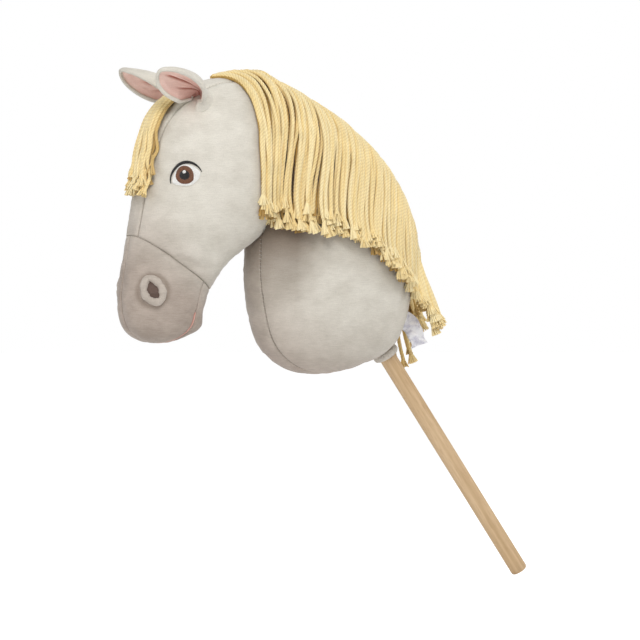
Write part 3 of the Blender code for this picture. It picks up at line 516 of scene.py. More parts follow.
# %% Stuffing the bodies with a cloth simulation
SEAM_DIP = 0.0012
PRESSURE = 4.0
FRAMES = 20
PUFF_LIMITS = (-0.0012, 0.005)
EVENED, OWN = 0.7, 0.3
STEPS_PER_STATION = 7
AROUND = 72
HEAD_BAG, NECK_BAG = (0.6, 13.9), (0.45, 10.4)
HEAD_PINS, NECK_PINS = (HEAD_START, 13.6), (0.7, 9.5)
PIN_REACH, LIP_PIN_REACH, MUZZLE_PIN_REACH = 2, 2.5, 0.07
CLOTH = {
    "quality": 5,
    "mass": 0.2,
    "tension_stiffness": 18,
    "compression_stiffness": 12,
    "bending_stiffness": 0.6,
    "shrink_min": -0.015,
    "use_pressure": True,
    "uniform_pressure_force": PRESSURE,
    "vertex_group_mass": "seams",
}


class HeightMap:
    """Heights on a grid of stations and angles, read between its points along smooth curves."""

    def __init__(self, lines, heights):
        self.first, self.step = lines[0], lines[1] - lines[0]
        self.heights = heights

    def __call__(self, t, angle):
        rows, columns = self.heights.shape
        row = np.clip((t - self.first) / self.step, 0, rows - 1.001)
        column = np.mod(angle, 360) / 360 * columns
        low_row, low_column = np.floor(row).astype(int), np.floor(column).astype(int)
        total = 0.0
        for i, down in enumerate(self.weights(row - low_row)):
            for j, over in enumerate(self.weights(column - low_column)):
                r = np.clip(low_row + i - 1, 0, rows - 1)
                c = (low_column + j - 1) % columns
                total = total + down * over * self.heights[r, c]
        return total

    @staticmethod
    def weights(f):
        return (
            -0.5 * f + f**2 - 0.5 * f**3,
            1 - 2.5 * f**2 + 1.5 * f**3,
            0.5 * f + 2 * f**2 - 1.5 * f**3,
            -0.5 * f**2 + 0.5 * f**3,
        )


def stuff(name, form, first, last, held):
    """Fills a body, and keeps how far its cloth moved. held says which places the seams hold."""
    lines = np.linspace(first, last, round((last - first) * STEPS_PER_STATION) + 1)
    angles = np.arange(AROUND) * 360 / AROUND
    t, angle = np.meshgrid(lines, angles, indexing="ij")
    start = form.point(t, angle, np.full(t.shape, -SEAM_DIP))
    rows, columns = t.shape
    count = rows * columns
    points = np.concatenate([start.reshape(-1, 3), [start[0].mean(axis=0), start[-1].mean(axis=0)]])
    bag = add_mesh(name, points, capped_faces(rows, columns), plush_cloth)
    pins = bag.vertex_groups.new(name="seams")
    fixed = np.flatnonzero(held(t, angle).ravel()).tolist()
    pins.add(fixed + [count, count + 1], 1.0, "REPLACE")
    cloth = bag.modifiers.new("cloth", "CLOTH")
    cloth.point_cache.frame_start = 1
    cloth.point_cache.frame_end = FRAMES
    for key, value in CLOTH.items():
        setattr(cloth.settings, key, value)
    cloth.settings.effector_weights.gravity = 0
    for number in range(1, FRAMES + 1):
        bpy.context.scene.frame_set(number)
    filled = bag.evaluated_get(bpy.context.evaluated_depsgraph_get()).data
    moved = np.array([v.co for v in filled.vertices])[:count].reshape(start.shape)
    bpy.data.objects.remove(bag)
    bpy.context.scene.frame_set(1)
    rise = np.einsum("rck,rck->rc", moved - start, form.normal(t, angle)) - SEAM_DIP
    rise = np.clip(rise, *PUFF_LIMITS)
    other_side = rise[:, (-np.arange(columns)) % columns]
    rise = (rise + other_side) / 2 * EVENED + rise * OWN
    form.puff = HeightMap(lines, rise)
    print(f"{name}: {count} points, rose {rise.max() / MM:.1f} mm, fell {rise.min() / MM:.1f} mm")


def near(value, *targets, reach):
    """Which values lie within reach of any of the targets."""
    return np.any([np.abs(value - target) < reach for target in targets], axis=0)


def head_seams(t, angle):
    behind = t < MUZZLE_SEAM
    gussets = near(folded(angle), FOREHEAD_HALF, JAW_ANGLE, reach=PIN_REACH) & behind
    mouth = near(folded(angle), 0, LIP_LINE, reach=LIP_PIN_REACH) & ~behind
    seams = gussets | mouth | near(t, MUZZLE_SEAM, reach=MUZZLE_PIN_REACH)
    return seams | (t < HEAD_PINS[0]) | (t > HEAD_PINS[1])


def neck_seams(t, angle):
    seams = near(folded(angle), 180, GUSSET_HALF, reach=PIN_REACH)
    return seams | (t < NECK_PINS[0]) | (t > NECK_PINS[1])


stuff("head_bag", HEAD, *HEAD_BAG, head_seams)
stuff("neck_bag", NECK, *NECK_BAG, neck_seams)

# %% [markdown]
# The cover is sewn from panels. Where two panels meet, each rolls inwards and the pair makes a soft
# crease. So a panel is a grid that is fine near its edges, where the roll needs points, and even
# between them. Each panel is a closed slab, because real cloth has a thickness.

# %% Panels of the cover
ROLL = 0.0024
ROLL_STEPS = np.array([0.0, 0.0, 0.3, 0.8, 1.5, 2.4]) * MM
FLANGE = 0.0007
PANEL_STEP = 0.0026
LINING_DEPTH = ROLL + FLANGE + 0.0002
SEAM_HALF = 0.0002
LIP_HALF = 0.0017
LIP_RUN = 0.9
FINE = 90
FEWEST_STEPS = 4
RIPPLE = 0.30 * MM


def spread(total, count):
    """Distances across a panel: close together where its edges roll, and even between them."""
    total = np.asarray(total, float)[..., None]
    inner = np.linspace(0, 1, count)
    low, high = ROLL_STEPS[-1], total - ROLL_STEPS[-1]
    across = low + (high - low) * inner
    start = np.broadcast_to(ROLL_STEPS[:-1], across.shape[:-1] + (len(ROLL_STEPS) - 1,))
    return np.concatenate([start, across, total - start[..., ::-1]], axis=-1)


def seam(t):
    return np.full(np.shape(t), SEAM_HALF)


def lip(t):
    """How far a panel stands back from the mouth line, which opens in front of its corner."""
    opened = np.clip((t - LIP_CORNER) / LIP_RUN, 0, 1)
    return SEAM_HALF + (LIP_HALF - SEAM_HALF) * opened**2 * (3 - 2 * opened)


def interpolate(where, at, values):
    """np.interp for each row of a table."""
    return np.array([np.interp(w, a, v) for w, a, v in zip(where, at, values)])


def unevenness(points):
    """A slow ripple of a third of a millimetre, as cloth over stuffing has."""
    x, y, z = (points[..., axis] * 1000 for axis in range(3))
    wave = np.sin(x * 0.31 + 1.7 * np.sin(z * 0.13)) * np.sin(z * 0.27 + 2.1 * np.sin(y * 0.17))
    return wave * np.sin(y * 0.23 + x * 0.07) * RIPPLE


def panel_grid(form, t_range, angle_range, edges=(seam, seam), top=None):
    """Stations, angles and edge distances of a panel. top gives its far end at each angle."""
    fine = np.linspace(0, 1, FINE)
    low, high = angle_range
    end = (lambda a: np.full(np.shape(a), float(t_range[1]))) if top is None else top
    middle = (low + high) / 2
    t_line = t_range[0] + (end(np.float64(middle)) - t_range[0]) * fine
    run = arc_length(form.skin(t_line, np.full(FINE, float(middle))))
    rows = spread(run[-1], max(FEWEST_STEPS, round(run[-1] / PANEL_STEP)))
    share = np.interp(rows, run, fine)[:, None]
    angles = np.broadcast_to(low + (high - low) * fine, (len(rows), FINE))
    t = t_range[0] + (end(angles) - t_range[0]) * share
    around = arc_length(form.skin(t, angles))
    standing_back = [edge(t[:, 0]) for edge in edges]
    width = around[:, -1] - standing_back[0] - standing_back[1]
    columns = spread(width, max(FEWEST_STEPS, round(width.max() / PANEL_STEP)))
    angle = interpolate(columns + standing_back[0][:, None], around, angles)
    t = t_range[0] + (end(angle) - t_range[0]) * share
    side = np.minimum(columns, width[:, None] - columns)
    ends = np.minimum(rows, run[-1] - rows)[:, None]
    return t, angle, side, np.broadcast_to(ends, side.shape)


def roll_depth(*distances):
    """How deep the cloth has turned under at these distances from its edges."""
    left = [np.clip(1 - d / ROLL, 0, 1) ** 2 for d in distances]
    turned = np.sqrt(np.clip(sum(left), 0, 1))
    return ROLL * (1 - np.sqrt(1 - turned**2))


def panel_depth(side, ends):
    """Depth of a rolled panel. Its outermost ring goes straight down into the seam."""
    depth = roll_depth(side, ends)
    depth[[0, -1]] = depth[:, [0, -1]] = ROLL + FLANGE
    return depth


DYE_START, DYE_FADE, DYE_TILT = 6.8, 3.2, 0.35


def nose_dye(t, angle):
    """How much taupe dye the cloth took: all of it at the nose, none at the cheeks."""
    level = t + DYE_TILT * np.cos(np.radians(folded(angle)))
    fade = np.clip((level - DYE_START) / DYE_FADE, 0, 1)
    return fade**1.3 * (1 - 0.25 * fade)


HEM_MIDDLE = ((-326, 421), (-286, 413), (-249, 403), (-214, 384), (-180, 356), (-147, 330))
MANE_HEM = np.array(((-380, 430), *HEM_MIDDLE, (-100, 285))) * MM
SHADE_REACH, SHADE_EDGE, SHADE_DEPTH = (0.026, 0.046), (-0.258, 0.055), (0.30, 0.66)
# Painted shade on the neck: darker at the throat, in the head's shadow, and towards its lower end.
THROAT_SHADE, LOW_SHADE, LOW_START = 0.60, 0.30, 0.31
THROAT_WIDTH, LOW_FADE = 80, 0.08


def neck_painted_shade(angle, points):
    """Painted shade in the taupe of the dye: at the throat, in the head's shadow, and low down."""
    throat = np.clip(1 - folded(angle) / THROAT_WIDTH, 0, 1)
    low = np.clip((LOW_START - points[..., 2]) / LOW_FADE, 0, 1)
    return np.clip(THROAT_SHADE * throat + LOW_SHADE * low, 0, 1)


NOSTRIL = (10.2, 62, -35)
CREASE_REACH, CREASE_WIDTH, CREASE_SHADE = 0.0185, 0.0032, 0.45


def head_shade(points):
    """Painted shade in the crease round each nostril."""
    spots = HEAD.skin(np.full(2, NOSTRIL[0]), np.array([NOSTRIL[1], 360.0 - NOSTRIL[1]]))
    away = np.linalg.norm(points[..., None, :] - spots, axis=-1).min(axis=-1)
    return CREASE_SHADE * np.exp(-(((away - CREASE_REACH) / CREASE_WIDTH) ** 2))


def neck_shade(points):
    """Painted shade in brown under the mane, where the mane and the head shade the neck."""
    below = np.interp(points[..., 0], MANE_HEM[:, 0], MANE_HEM[:, 1]) - points[..., 2]
    front = np.clip((SHADE_EDGE[0] - points[..., 0]) / SHADE_EDGE[1], 0, 1)
    reach = SHADE_REACH[0] + SHADE_REACH[1] * front**2
    strength = SHADE_DEPTH[0] + SHADE_DEPTH[1] * front
    return np.exp(-((np.maximum(below, 0) / reach) ** 2)) * strength


def add_panel(name, form, t_range, angle_range, edges=(seam, seam), top=None, near_head=None):
    t, angle, side, ends = panel_grid(form, t_range, angle_range, edges, top)
    depth = panel_depth(side, ends)
    skin = form.skin(t, angle)
    if near_head is not None:
        depth = np.maximum(depth, near_head(skin))
    cloth = form.point(t, angle, unevenness(skin) - depth)
    below = np.full(t.shape, -LINING_DEPTH) - np.maximum(depth - ROLL - FLANGE, 0)
    made = add_slab(name, cloth, form.point(t, angle, below), plush_cloth)
    if form is HEAD:
        dye_and_shade, shade = nose_dye(t, angle), head_shade(skin)
    else:
        dye_and_shade, shade = neck_painted_shade(angle, skin), neck_shade(skin)
    set_attribute(made, "dye_and_shade", np.tile(dye_and_shade.ravel(), 2))
    set_attribute(made, "shade", np.tile(shade.ravel(), 2))
    return made


ROOT = "stick_and_head"


def sew_on(piece, body, slot, *nodes, fill=None, bend=None):
    """Sets a piece on the body that it rides on, and hides the solids that it stands for. How full
    it is, fill, is not used. A piece that bends is baked where it stands, on no body."""
    if bend is None:
        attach(piece, body)
    else:
        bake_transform(piece)
    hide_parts(*nodes)
    print(f"{piece.name}: {len(piece.data.polygons)} faces, for {', '.join(nodes)}")


# %% [markdown]
# The head has seven panels. Two sides, a forehead gusset and a jaw gusset run up to the muzzle seam.
# Beyond it two nose panels and a chin panel meet at the mouth, where they stand apart.

# %% Head cover
COVER_FILL = 0.85
HEAD_PANELS = {
    "head_side_left": (HEAD_START, MUZZLE_SEAM, FOREHEAD_HALF, JAW_ANGLE, seam, seam),
    "head_side_right": (HEAD_START, MUZZLE_SEAM, 360 - JAW_ANGLE, 360 - FOREHEAD_HALF, seam, seam),
    "forehead_gusset": (HEAD_START, MUZZLE_SEAM, -FOREHEAD_HALF, FOREHEAD_HALF, seam, seam),
    "jaw_gusset": (HEAD_START, MUZZLE_SEAM, JAW_ANGLE, 360 - JAW_ANGLE, seam, seam),
    "nose_panel_left": (MUZZLE_SEAM, LIP_END, 0, LIP_LINE, seam, lip),
    "nose_panel_right": (MUZZLE_SEAM, LIP_END, 360 - LIP_LINE, 360, lip, seam),
    "chin_panel": (MUZZLE_SEAM, LIP_END, LIP_LINE, 360 - LIP_LINE, lip, lip),
}
for node, (t0, t1, a0, a1, first, last) in HEAD_PANELS.items():
    slot = "muzzle_plush" if t0 == MUZZLE_SEAM else "plush"
    piece = add_panel("cover_" + node, HEAD, (t0, t1), (a0, a1), (first, last))
    sew_on(piece, ROOT, slot, node, fill=COVER_FILL)

# %% [markdown]
# The neck meets the head in a ring of seam. Its panels stop just inside the head, and they roll
# inwards as they come near the head's surface, so the join is a soft crease and not a hard cut.

# %% Neck cover


def form_tree(*forms):
    """The skins of some forms, ready for questions about distances and rays."""
    points, faces = [], []
    around = np.linspace(0, 360, 73)[:-1]
    for form in forms:
        lines = np.linspace(0.05, form.last - 0.05, 120)
        t, angle = np.meshgrid(lines, around, indexing="ij")
        order = -form.facing
        faces.extend(f[::order] for f in grid_faces(*t.shape, len(points), wrap=True))
        points.extend(form.point(t, angle).reshape(-1, 3))
    return BVHTree.FromPolygons([Vector(p) for p in points], faces)


HEAD_TREE = form_tree(HEAD)


def height_over_head(points):
    """Distance from the head's skin, positive outside it."""
    heights = []
    for p in points.reshape(-1, 3):
        spot, normal, _, far = HEAD_TREE.find_nearest(Vector(p))
        heights.append(far if (Vector(p) - spot).dot(normal) > 0 else -far)
    return np.array(heights).reshape(points.shape[:-1])


HIDDEN = 0.007
SEARCH_START = 4.0
SMOOTHING = np.array([1, 2, 3, 2, 1]) / 9
sample_angles = np.arange(0, 361, 4.0)
sample_t = np.linspace(SEARCH_START, NECK_TOP, 120)
over = height_over_head(NECK.skin(sample_t[None, :], sample_angles[:, None]))
reaches = [sample_t[row < -HIDDEN][0] if (row < -HIDDEN).any() else NECK_TOP for row in over]
wrapped = np.concatenate([reaches[-3:-1], reaches, reaches[1:3]])
smooth_reaches = np.convolve(wrapped, SMOOTHING, "valid")


def neck_end(angle):
    """The station where the neck's cover has sunk deep enough in the head to stop."""
    return np.interp(np.mod(angle, 360), sample_angles, smooth_reaches)


def roll_to_head(points):
    return roll_depth(height_over_head(points))


NECK_PANELS = {
    "neck_side_left": (GUSSET_HALF, 180),
    "neck_side_right": (180, 360 - GUSSET_HALF),
    "neck_gusset": (-GUSSET_HALF, GUSSET_HALF),
}
for node, angles in NECK_PANELS.items():
    stations = (NECK_HOLE, NECK_TOP)
    piece = add_panel("cover_" + node, NECK, stations, angles, top=neck_end, near_head=roll_to_head)
    sew_on(piece, ROOT, "plush", node, fill=COVER_FILL)

# %% [markdown]
# The mane is some hundreds of strands of twisted cotton yarn. Each strand follows a curve, so this
# is work for Geometry Nodes: Python works out the centre lines, and a node tree turns every line
# into yarn. The tree resamples the line, turns a three-ply profile round it as it goes, and sets a
# tuft of loose fibres on its cut end. The helper below writes such a tree with short calls.

# %% Geometry Nodes helpers


class Tree(Nodes):
    """A Geometry Nodes tree with named inputs."""

    def __init__(self, name, **inputs):
        self.tree = bpy.data.node_groups.new(name, "GeometryNodeTree")
        super().__init__(self.tree)
        face = self.tree.interface
        face.new_socket("Geometry", in_out="INPUT", socket_type="NodeSocketGeometry")
        face.new_socket("Geometry", in_out="OUTPUT", socket_type="NodeSocketGeometry")
        kinds = {int: "NodeSocketInt", float: "NodeSocketFloat", type(None): "NodeSocketMaterial"}
        for label, value in inputs.items():
            kind = kinds[type(value)]
            socket = face.new_socket(label.replace("_", " "), in_out="INPUT", socket_type=kind)
            if value is not None:
                socket.default_value = value
        self.given = self.nodes.new("NodeGroupInput").outputs

    def random(self, low, high, kind="FLOAT"):
        links = {"Min": low, "Max": high, "Seed": self.given["Seed"]}
        made = self.node("FunctionNodeRandomValue", links, data_type=kind)
        return next(s for s in made.outputs if s.enabled)

    def even_curve(self):
        """The given lines as smooth curves, with their points at even steps."""
        curve = self.result("GeometryNodeMeshToCurve", {"Mesh": self.given["Geometry"]})
        curve = self.result("GeometryNodeCurveSplineType", {"Curve": curve}, spline_type="CATMULL_ROM")
        links = {"Curve": curve, "Length": self.given["Ring spacing"]}
        return self.result("GeometryNodeResampleCurve", links, mode="LENGTH")

    def thick(self, curve, profile):
        links = {"Curve": curve, "Profile Curve": profile, "Fill Caps": True}
        return self.result("GeometryNodeCurveToMesh", links)

    def circle(self, resolution, radius):
        links = {"Resolution": resolution, "Radius": radius}
        return self.result("GeometryNodeCurvePrimitiveCircle", links)

    def vector(self, **parts):
        return self.result("ShaderNodeCombineXYZ", parts)

    def finish(self, geometry):
        """Makes the instances real, gives them the finish and sends them out."""
        real = self.result("GeometryNodeRealizeInstances", {"Geometry": geometry})
        smooth = self.result("GeometryNodeSetShadeSmooth", {"Geometry": real})
        links = {"Geometry": smooth, "Material": self.given["Finish"]}
        done = self.result("GeometryNodeSetMaterial", links)
        self.put(self.nodes.new("NodeGroupOutput").inputs["Geometry"], done)
        return self.tree


def lines_mesh(name, lines, **values):
    """A mesh of open lines. Each value is one number for a line, kept at all its points."""
    mesh = bpy.data.meshes.new(name)
    counts = [len(line) for line in lines]
    starts = np.concatenate([[0], np.cumsum(counts)[:-1]])
    edges = [(s + k, s + k + 1) for s, n in zip(starts, counts) for k in range(n - 1)]
    points = [tuple(map(float, p)) for p in np.concatenate(lines)]
    mesh.from_pydata(points, [tuple(map(int, edge)) for edge in edges], [])
    for key, numbers in values.items():
        made = mesh.attributes.new(key, "FLOAT", "POINT")
        made.data.foreach_set("value", np.repeat(np.asarray(numbers, np.float32), counts))
    return mesh


def grow(name, source, tree, finish, **values):
    """Runs a tree on a mesh of lines, and keeps the result as a plain mesh."""
    holder = add_object(name + "_lines", source)
    modifier = holder.modifiers.new("grow", "NODES")
    modifier.node_group = tree
    chosen = {label.replace("_", " "): value for label, value in values.items()}
    chosen["Finish"] = finish
    for item in tree.interface.items_tree:
        if item.in_out == "INPUT" and item.name in chosen:
            modifier[item.identifier] = chosen[item.name]
    evaluated = holder.evaluated_get(bpy.context.evaluated_depsgraph_get())
    mesh = bpy.data.meshes.new_from_object(evaluated)
    mesh.name = name
    bpy.data.objects.remove(holder)
    return add_object(name, mesh)


# %% [markdown]
# A strand is a circle with three shallow grooves, swept along its line and turned as it goes. Its
# tuft is a handful of bent fibres, spun and scaled by chance and set on the last point of the line.
# Sewing thread is the same in small, without grooves and tuft.

# %% Twisted yarn and sewing thread
ANY_SPIN = ((0, 0, -3.1), (0, 0, 3.1), "FLOAT_VECTOR")


def add_twist(tree, curve, run):
    """Turns a curve about itself, and widens it a little at its cut end."""
    turns = tree.math("DIVIDE", run["Length"], tree.given["Twist length"])
    links = {"Curve": curve, "Tilt": tree.math("MULTIPLY", turns, 2 * math.pi)}
    curve = tree.result("GeometryNodeSetCurveTilt", links)
    wide = tree.result("ShaderNodeMapRange", {0: run["Factor"], 1: 0.92, 2: 1.0, 3: 1.0, 4: 1.15})
    return tree.result("GeometryNodeSetCurveRadius", {"Curve": curve, "Radius": wide})


def three_ply(tree, points=9):
    """A circle with three grooves. The attribute named groove says where they are."""
    index = tree.result("GeometryNodeInputIndex")
    wave = tree.math("COSINE", tree.math("MULTIPLY", index, 2 * math.pi / 3))
    groove = tree.math("MAXIMUM", wave, 0.0)
    depth = tree.math("MULTIPLY", tree.given["Ply depth"], -1.0)
    reach = tree.math("MULTIPLY_ADD", groove, depth, 1.0)
    reach = tree.math("MULTIPLY", reach, tree.given["Strand radius"])
    links = {0: tree.result("GeometryNodeInputPosition"), "Scale": reach}
    moved = tree.result("ShaderNodeVectorMath", links, operation="SCALE")
    links = {"Geometry": tree.circle(points, 1.0), "Position": moved}
    profile = tree.result("GeometryNodeSetPosition", links)
    links = {"Geometry": profile, "Name": "groove", "Value": groove}
    return tree.result("GeometryNodeStoreNamedAttribute", links, data_type="FLOAT", domain="POINT")


def loose_tuft(tree, run):
    """Fibres that bend outwards from one point, each spun and scaled by chance."""
    length, flare = tree.given["Tuft length"], tree.given["Tuft flare"]
    links = {
        "Resolution": 4,
        "Start": (0, 0, 0),
        "Start Handle": tree.vector(Z=tree.math("MULTIPLY", length, 0.35)),
        "End Handle": tree.vector(
            X=tree.math("MULTIPLY", flare, 0.62), Z=tree.math("MULTIPLY", length, 0.70)
        ),
        "End": tree.vector(X=flare, Z=length),
    }
    fibre = tree.result("GeometryNodeCurvePrimitiveBezierSegment", links, mode="POSITION")
    taper = tree.math("MULTIPLY_ADD", run["Factor"], -0.45, 1.0)
    fibre = tree.result("GeometryNodeSetCurveRadius", {"Curve": fibre, "Radius": taper})
    fibre = tree.thick(fibre, tree.circle(4, tree.given["Fibre radius"]))
    sink = tree.vector(Z=tree.math("MULTIPLY", length, -0.58))
    links = {
        "Points": tree.result("GeometryNodePoints", {"Count": tree.given["Fibres"]}),
        "Instance": tree.result("GeometryNodeTransform", {"Geometry": fibre, "Translation": sink}),
        "Rotation": tree.random(*ANY_SPIN),
        "Scale": tree.random((0.35, 0.8, 0.86), (1.10, 1.2, 1.06), "FLOAT_VECTOR"),
    }
    tuft = tree.result("GeometryNodeInstanceOnPoints", links)
    return tree.result("GeometryNodeRealizeInstances", {"Geometry": tuft})


def on_last_points(tree, curve, tuft):
    """A tuft on the end of every line, facing along it and spun by chance."""
    links = {"Vector": tree.result("GeometryNodeInputTangent")}
    facing = tree.result("FunctionNodeAlignRotationToVector", links, axis="Z")
    links = {"Rotation": facing, "Rotate By": tree.random(*ANY_SPIN)}
    turned = tree.result("FunctionNodeRotateRotation", links, rotation_space="LOCAL")
    last = {"Start Size": 0, "End Size": 1}
    links = {
        "Points": curve,
        "Selection": tree.result("GeometryNodeCurveEndpointSelection", last),
        "Instance": tuft,
        "Rotation": turned,
        "Scale": tree.random(0.85, 1.2),
    }
    return tree.result("GeometryNodeInstanceOnPoints", links)


def yarn_tree():
    tree = Tree(
        "twisted_yarn",
        Strand_radius=0.0023,
        Ply_depth=0.07,
        Twist_length=0.013,
        Ring_spacing=0.0020,
        Tuft_length=0.0190,
        Tuft_flare=0.0056,
        Fibre_radius=0.00078,
        Fibres=26,
        Seed=3,
        Finish=None,
    )
    run = tree.node("GeometryNodeSplineParameter").outputs
    curve = add_twist(tree, tree.even_curve(), run)
    strand = tree.thick(curve, three_ply(tree))
    tufts = on_last_points(tree, curve, loose_tuft(tree, run))
    both = tree.node("GeometryNodeJoinGeometry")
    for part in (tufts, strand):
        tree.put(both.inputs[0], part)
    return tree.finish(both.outputs[0])


def thread_tree():
    tree = Tree("sewing_thread", Thread_radius=0.0003, Ring_spacing=0.0015, Sides=5, Finish=None)
    ring = tree.circle(tree.given["Sides"], tree.given["Thread radius"])
    return tree.finish(tree.thick(tree.even_curve(), ring))


chance = np.random.default_rng(11)
YARN = yarn_tree()
THREAD = thread_tree()
print("trees", YARN.name, THREAD.name)

# %% [markdown]
# The yarn is a warm straw yellow. The grooves between the plies are painted a deeper gold, as
# painted shade that is gold rather than grey because cotton lets some light through. Each strand has
# its own tone, which the tree carries along as an attribute, and a fine fibre pattern roughens it. A
# tone below zero paints the whole strand in that deep gold shade.

# %% Yarn finish
YARN_LIGHT = (1.000, 0.870, 0.540)
YARN_MID = (0.960, 0.745, 0.350)
YARN_SHADE = (0.480, 0.290, 0.080)
GROOVE_SHADE = 0.28


def yarn_finish():
    cotton = Finish("yarn", 0.85, Sheen_Weight=0.3, Sheen_Roughness=0.4, Specular_IOR_Level=0.2)
    tone = cotton.attribute("tone")
    fibres = cotton.noise(cotton.place((1, 1, 0.35)), 1500.0, 2.0, 0.6)
    drift = cotton.noise(cotton.place(), 35.0, 2.0)
    blend = cotton.math("MULTIPLY_ADD", drift, 0.3, cotton.math("MULTIPLY", tone, 0.8))
    colour = cotton.mix(blend, YARN_MID, YARN_LIGHT)
    # Painted shade: deep gold in the grooves, and over whole strands whose tone is below zero.
    groove = cotton.math("MULTIPLY", cotton.attribute("groove"), GROOVE_SHADE)
    colour = cotton.mix(groove, colour, YARN_SHADE)
    inner = cotton.math("MAXIMUM", cotton.math("MULTIPLY", tone, -1.0), 0.0)
    colour = cotton.mix(inner, colour, YARN_SHADE)
    speckle = cotton.ramp(fibres, ((0.3, (0.93, 0.91, 0.87)), (0.65, (1.0, 1.0, 1.0))))
    cotton.colour(cotton.mix(1.0, colour, speckle, "MULTIPLY"))
    cotton.bump(fibres, 0.4, 0.0006)
    return cotton.material


yarn = yarn_finish()

# %% [markdown]
# Where does each strand lie? It is sewn at a share u of the crest, from the poll down to the stick.
# From there it sweeps back along the crest, bends over and hangs to its end on the ragged hem line.
# A ray cast onto the stuffed body keeps it outside. Strands draw together in bunches towards their
# ends, which opens the narrow dark gaps that a yarn mane has.

# %% Where the strands lie
MANE_START, MANE_STOP = 3.0, 2.05
ROOT_LIFT, ROOT_SIDE = 0.0008, 0.0006
STRAND_SPREAD, STRAND_OPENING, REAR_CLOSING = 0.018, 0.006, 0.3
ROOT_PULL = 0.18
SWEEP, RISE, MIDDLE_RISE, REAR_DROP = 0.30, 0.015, 0.045, 0.05
HANG, HANG_BACK, HANG_LEAN = 0.42, -0.14, 0.20
SPREAD_BY, HANGS_BY, FULL_BY = 0.25, 0.4, 0.35
CLEARANCE, RAY = 0.0026, 0.3
MANE_ENDS = np.array(((-358, 426), *HEM_MIDDLE, (-121, 300))) * MM
POLL_END, BACK_START = 1.0, 9.55
BODY_TREE = form_tree(HEAD, NECK)


def along_table(at, where, table):
    """np.interp for each column of a table."""
    return np.stack([np.interp(at, where, table[:, k]) for k in range(3)], axis=-1)


def crest_line(count=(8, 24)):
    """Points along the top of the head and down the back of the neck, and their normals."""
    poll = np.linspace(MANE_START, POLL_END, count[0])
    back = np.linspace(BACK_START, MANE_STOP, count[1])
    top, rear = np.zeros(count[0]), np.full(count[1], 180.0)
    points = np.concatenate([HEAD.point(poll, top), NECK.point(back, rear)])
    normals = np.concatenate([HEAD.normal(poll, top), NECK.normal(back, rear)])
    return points, normals


def smoothed_crest(passes=400, blurs=6):
    """The crest as the yarn bridges it: without the dip where the neck meets the head."""
    points, normals = crest_line()
    run = arc_length(points)
    even = np.linspace(0, run[-1], 60)
    points, normals = along_table(even, run, points), along_table(even, run, normals)
    raw = points.copy()
    for _ in range(passes):
        middle = (points[:-2] + points[2:]) / 2
        higher = np.einsum("ij,ij->i", middle - points[1:-1], normals[1:-1]) > 0
        points[1:-1][higher] = middle[higher]
    print(f"crest bridged by {np.linalg.norm(points - raw, axis=1).max() / MM:.1f} mm")
    for _ in range(blurs):
        normals[1:-1] = unit(normals[:-2] + normals[1:-1] * 2 + normals[2:])
    return points, unit(normals)


CREST, CREST_OUT = smoothed_crest()
CREST_RUN = arc_length(CREST)
CREST_SHARE = CREST_RUN / CREST_RUN[-1]
CREST_ALONG = unit(np.gradient(CREST, CREST_SHARE, axis=0))


def on_crest(values, u):
    return along_table(u, CREST_SHARE, values)


def hem_point(u):
    spot = np.clip(u, 0, 1) * (len(MANE_ENDS) - 1)
    low = min(int(spot), len(MANE_ENDS) - 2)
    x, z = MANE_ENDS[low] + (MANE_ENDS[low + 1] - MANE_ENDS[low]) * (spot - low)
    return np.array([x, 0.0, z])


def strand_place(u, v, lift, end=None):
    """A point of the left mane at share v of the way down, lift metres above the body."""
    u = min(max(u, 0.0), 1.0)
    sewn = u * (1 - ROOT_PULL * u)
    outward = on_crest(CREST_OUT, sewn)
    root = on_crest(CREST, sewn) + outward * ROOT_LIFT
    finish = hem_point(u) if end is None else end
    reach = np.linalg.norm(finish - root)
    rise = RISE + MIDDLE_RISE * math.sin(math.pi * min(u / 0.8, 1.0)) - REAR_DROP * u**2
    back = root + (on_crest(CREST_ALONG, sewn) * SWEEP + outward * rise) * reach
    over = finish + np.array([HANG_BACK - HANG_LEAN * u, 0.0, 1.0]) * HANG * reach
    flat = (1 - v) ** 3 * root + 3 * v * (1 - v) ** 2 * back + 3 * v**2 * (1 - v) * over + v**3 * finish
    spread = STRAND_SPREAD * (1 - REAR_CLOSING * u**3)
    least = ROOT_SIDE + spread * min(v / SPREAD_BY, 1.0) ** 0.7 + STRAND_OPENING * v
    hit = BODY_TREE.ray_cast(Vector((flat[0], -RAY, flat[2])), Vector(STICK_SIDE), RAY)[0]
    aside = max(least, -hit.y + CLEARANCE if hit else 0.0)
    hanging = min(v / HANGS_BY, 1.0)
    away = unit(outward * (1 - hanging) - STICK_SIDE * hanging)
    gather = (0.45 + 0.55 * min(v / FULL_BY, 1.0)) * min(0.35 + u / 0.10, 1.0)
    return np.array([flat[0], -aside, flat[2]]) + away * lift * gather


# %% [markdown]
# Three layers of strands make each side. The lowest is painted in deep gold shade, for the gaps
# between strands, and the upper ones vary in tone.
# Chance gives every strand its own length, wander and slant, always in the same order, so that the
# same mane grows each time. A few longer strands hang at the rear.

# %% The strands of the mane
LAYERS = ((60, 0.0022), (66, 0.0056), (72, 0.0090))
BUNCHES = 21
BUNCH_PULL, BUNCH_START, BUNCH_SHIFT = 0.6, 0.15, 0.37
STRAND_POINTS = 15
LOCKS = 6
FULL_TURN = 6.3


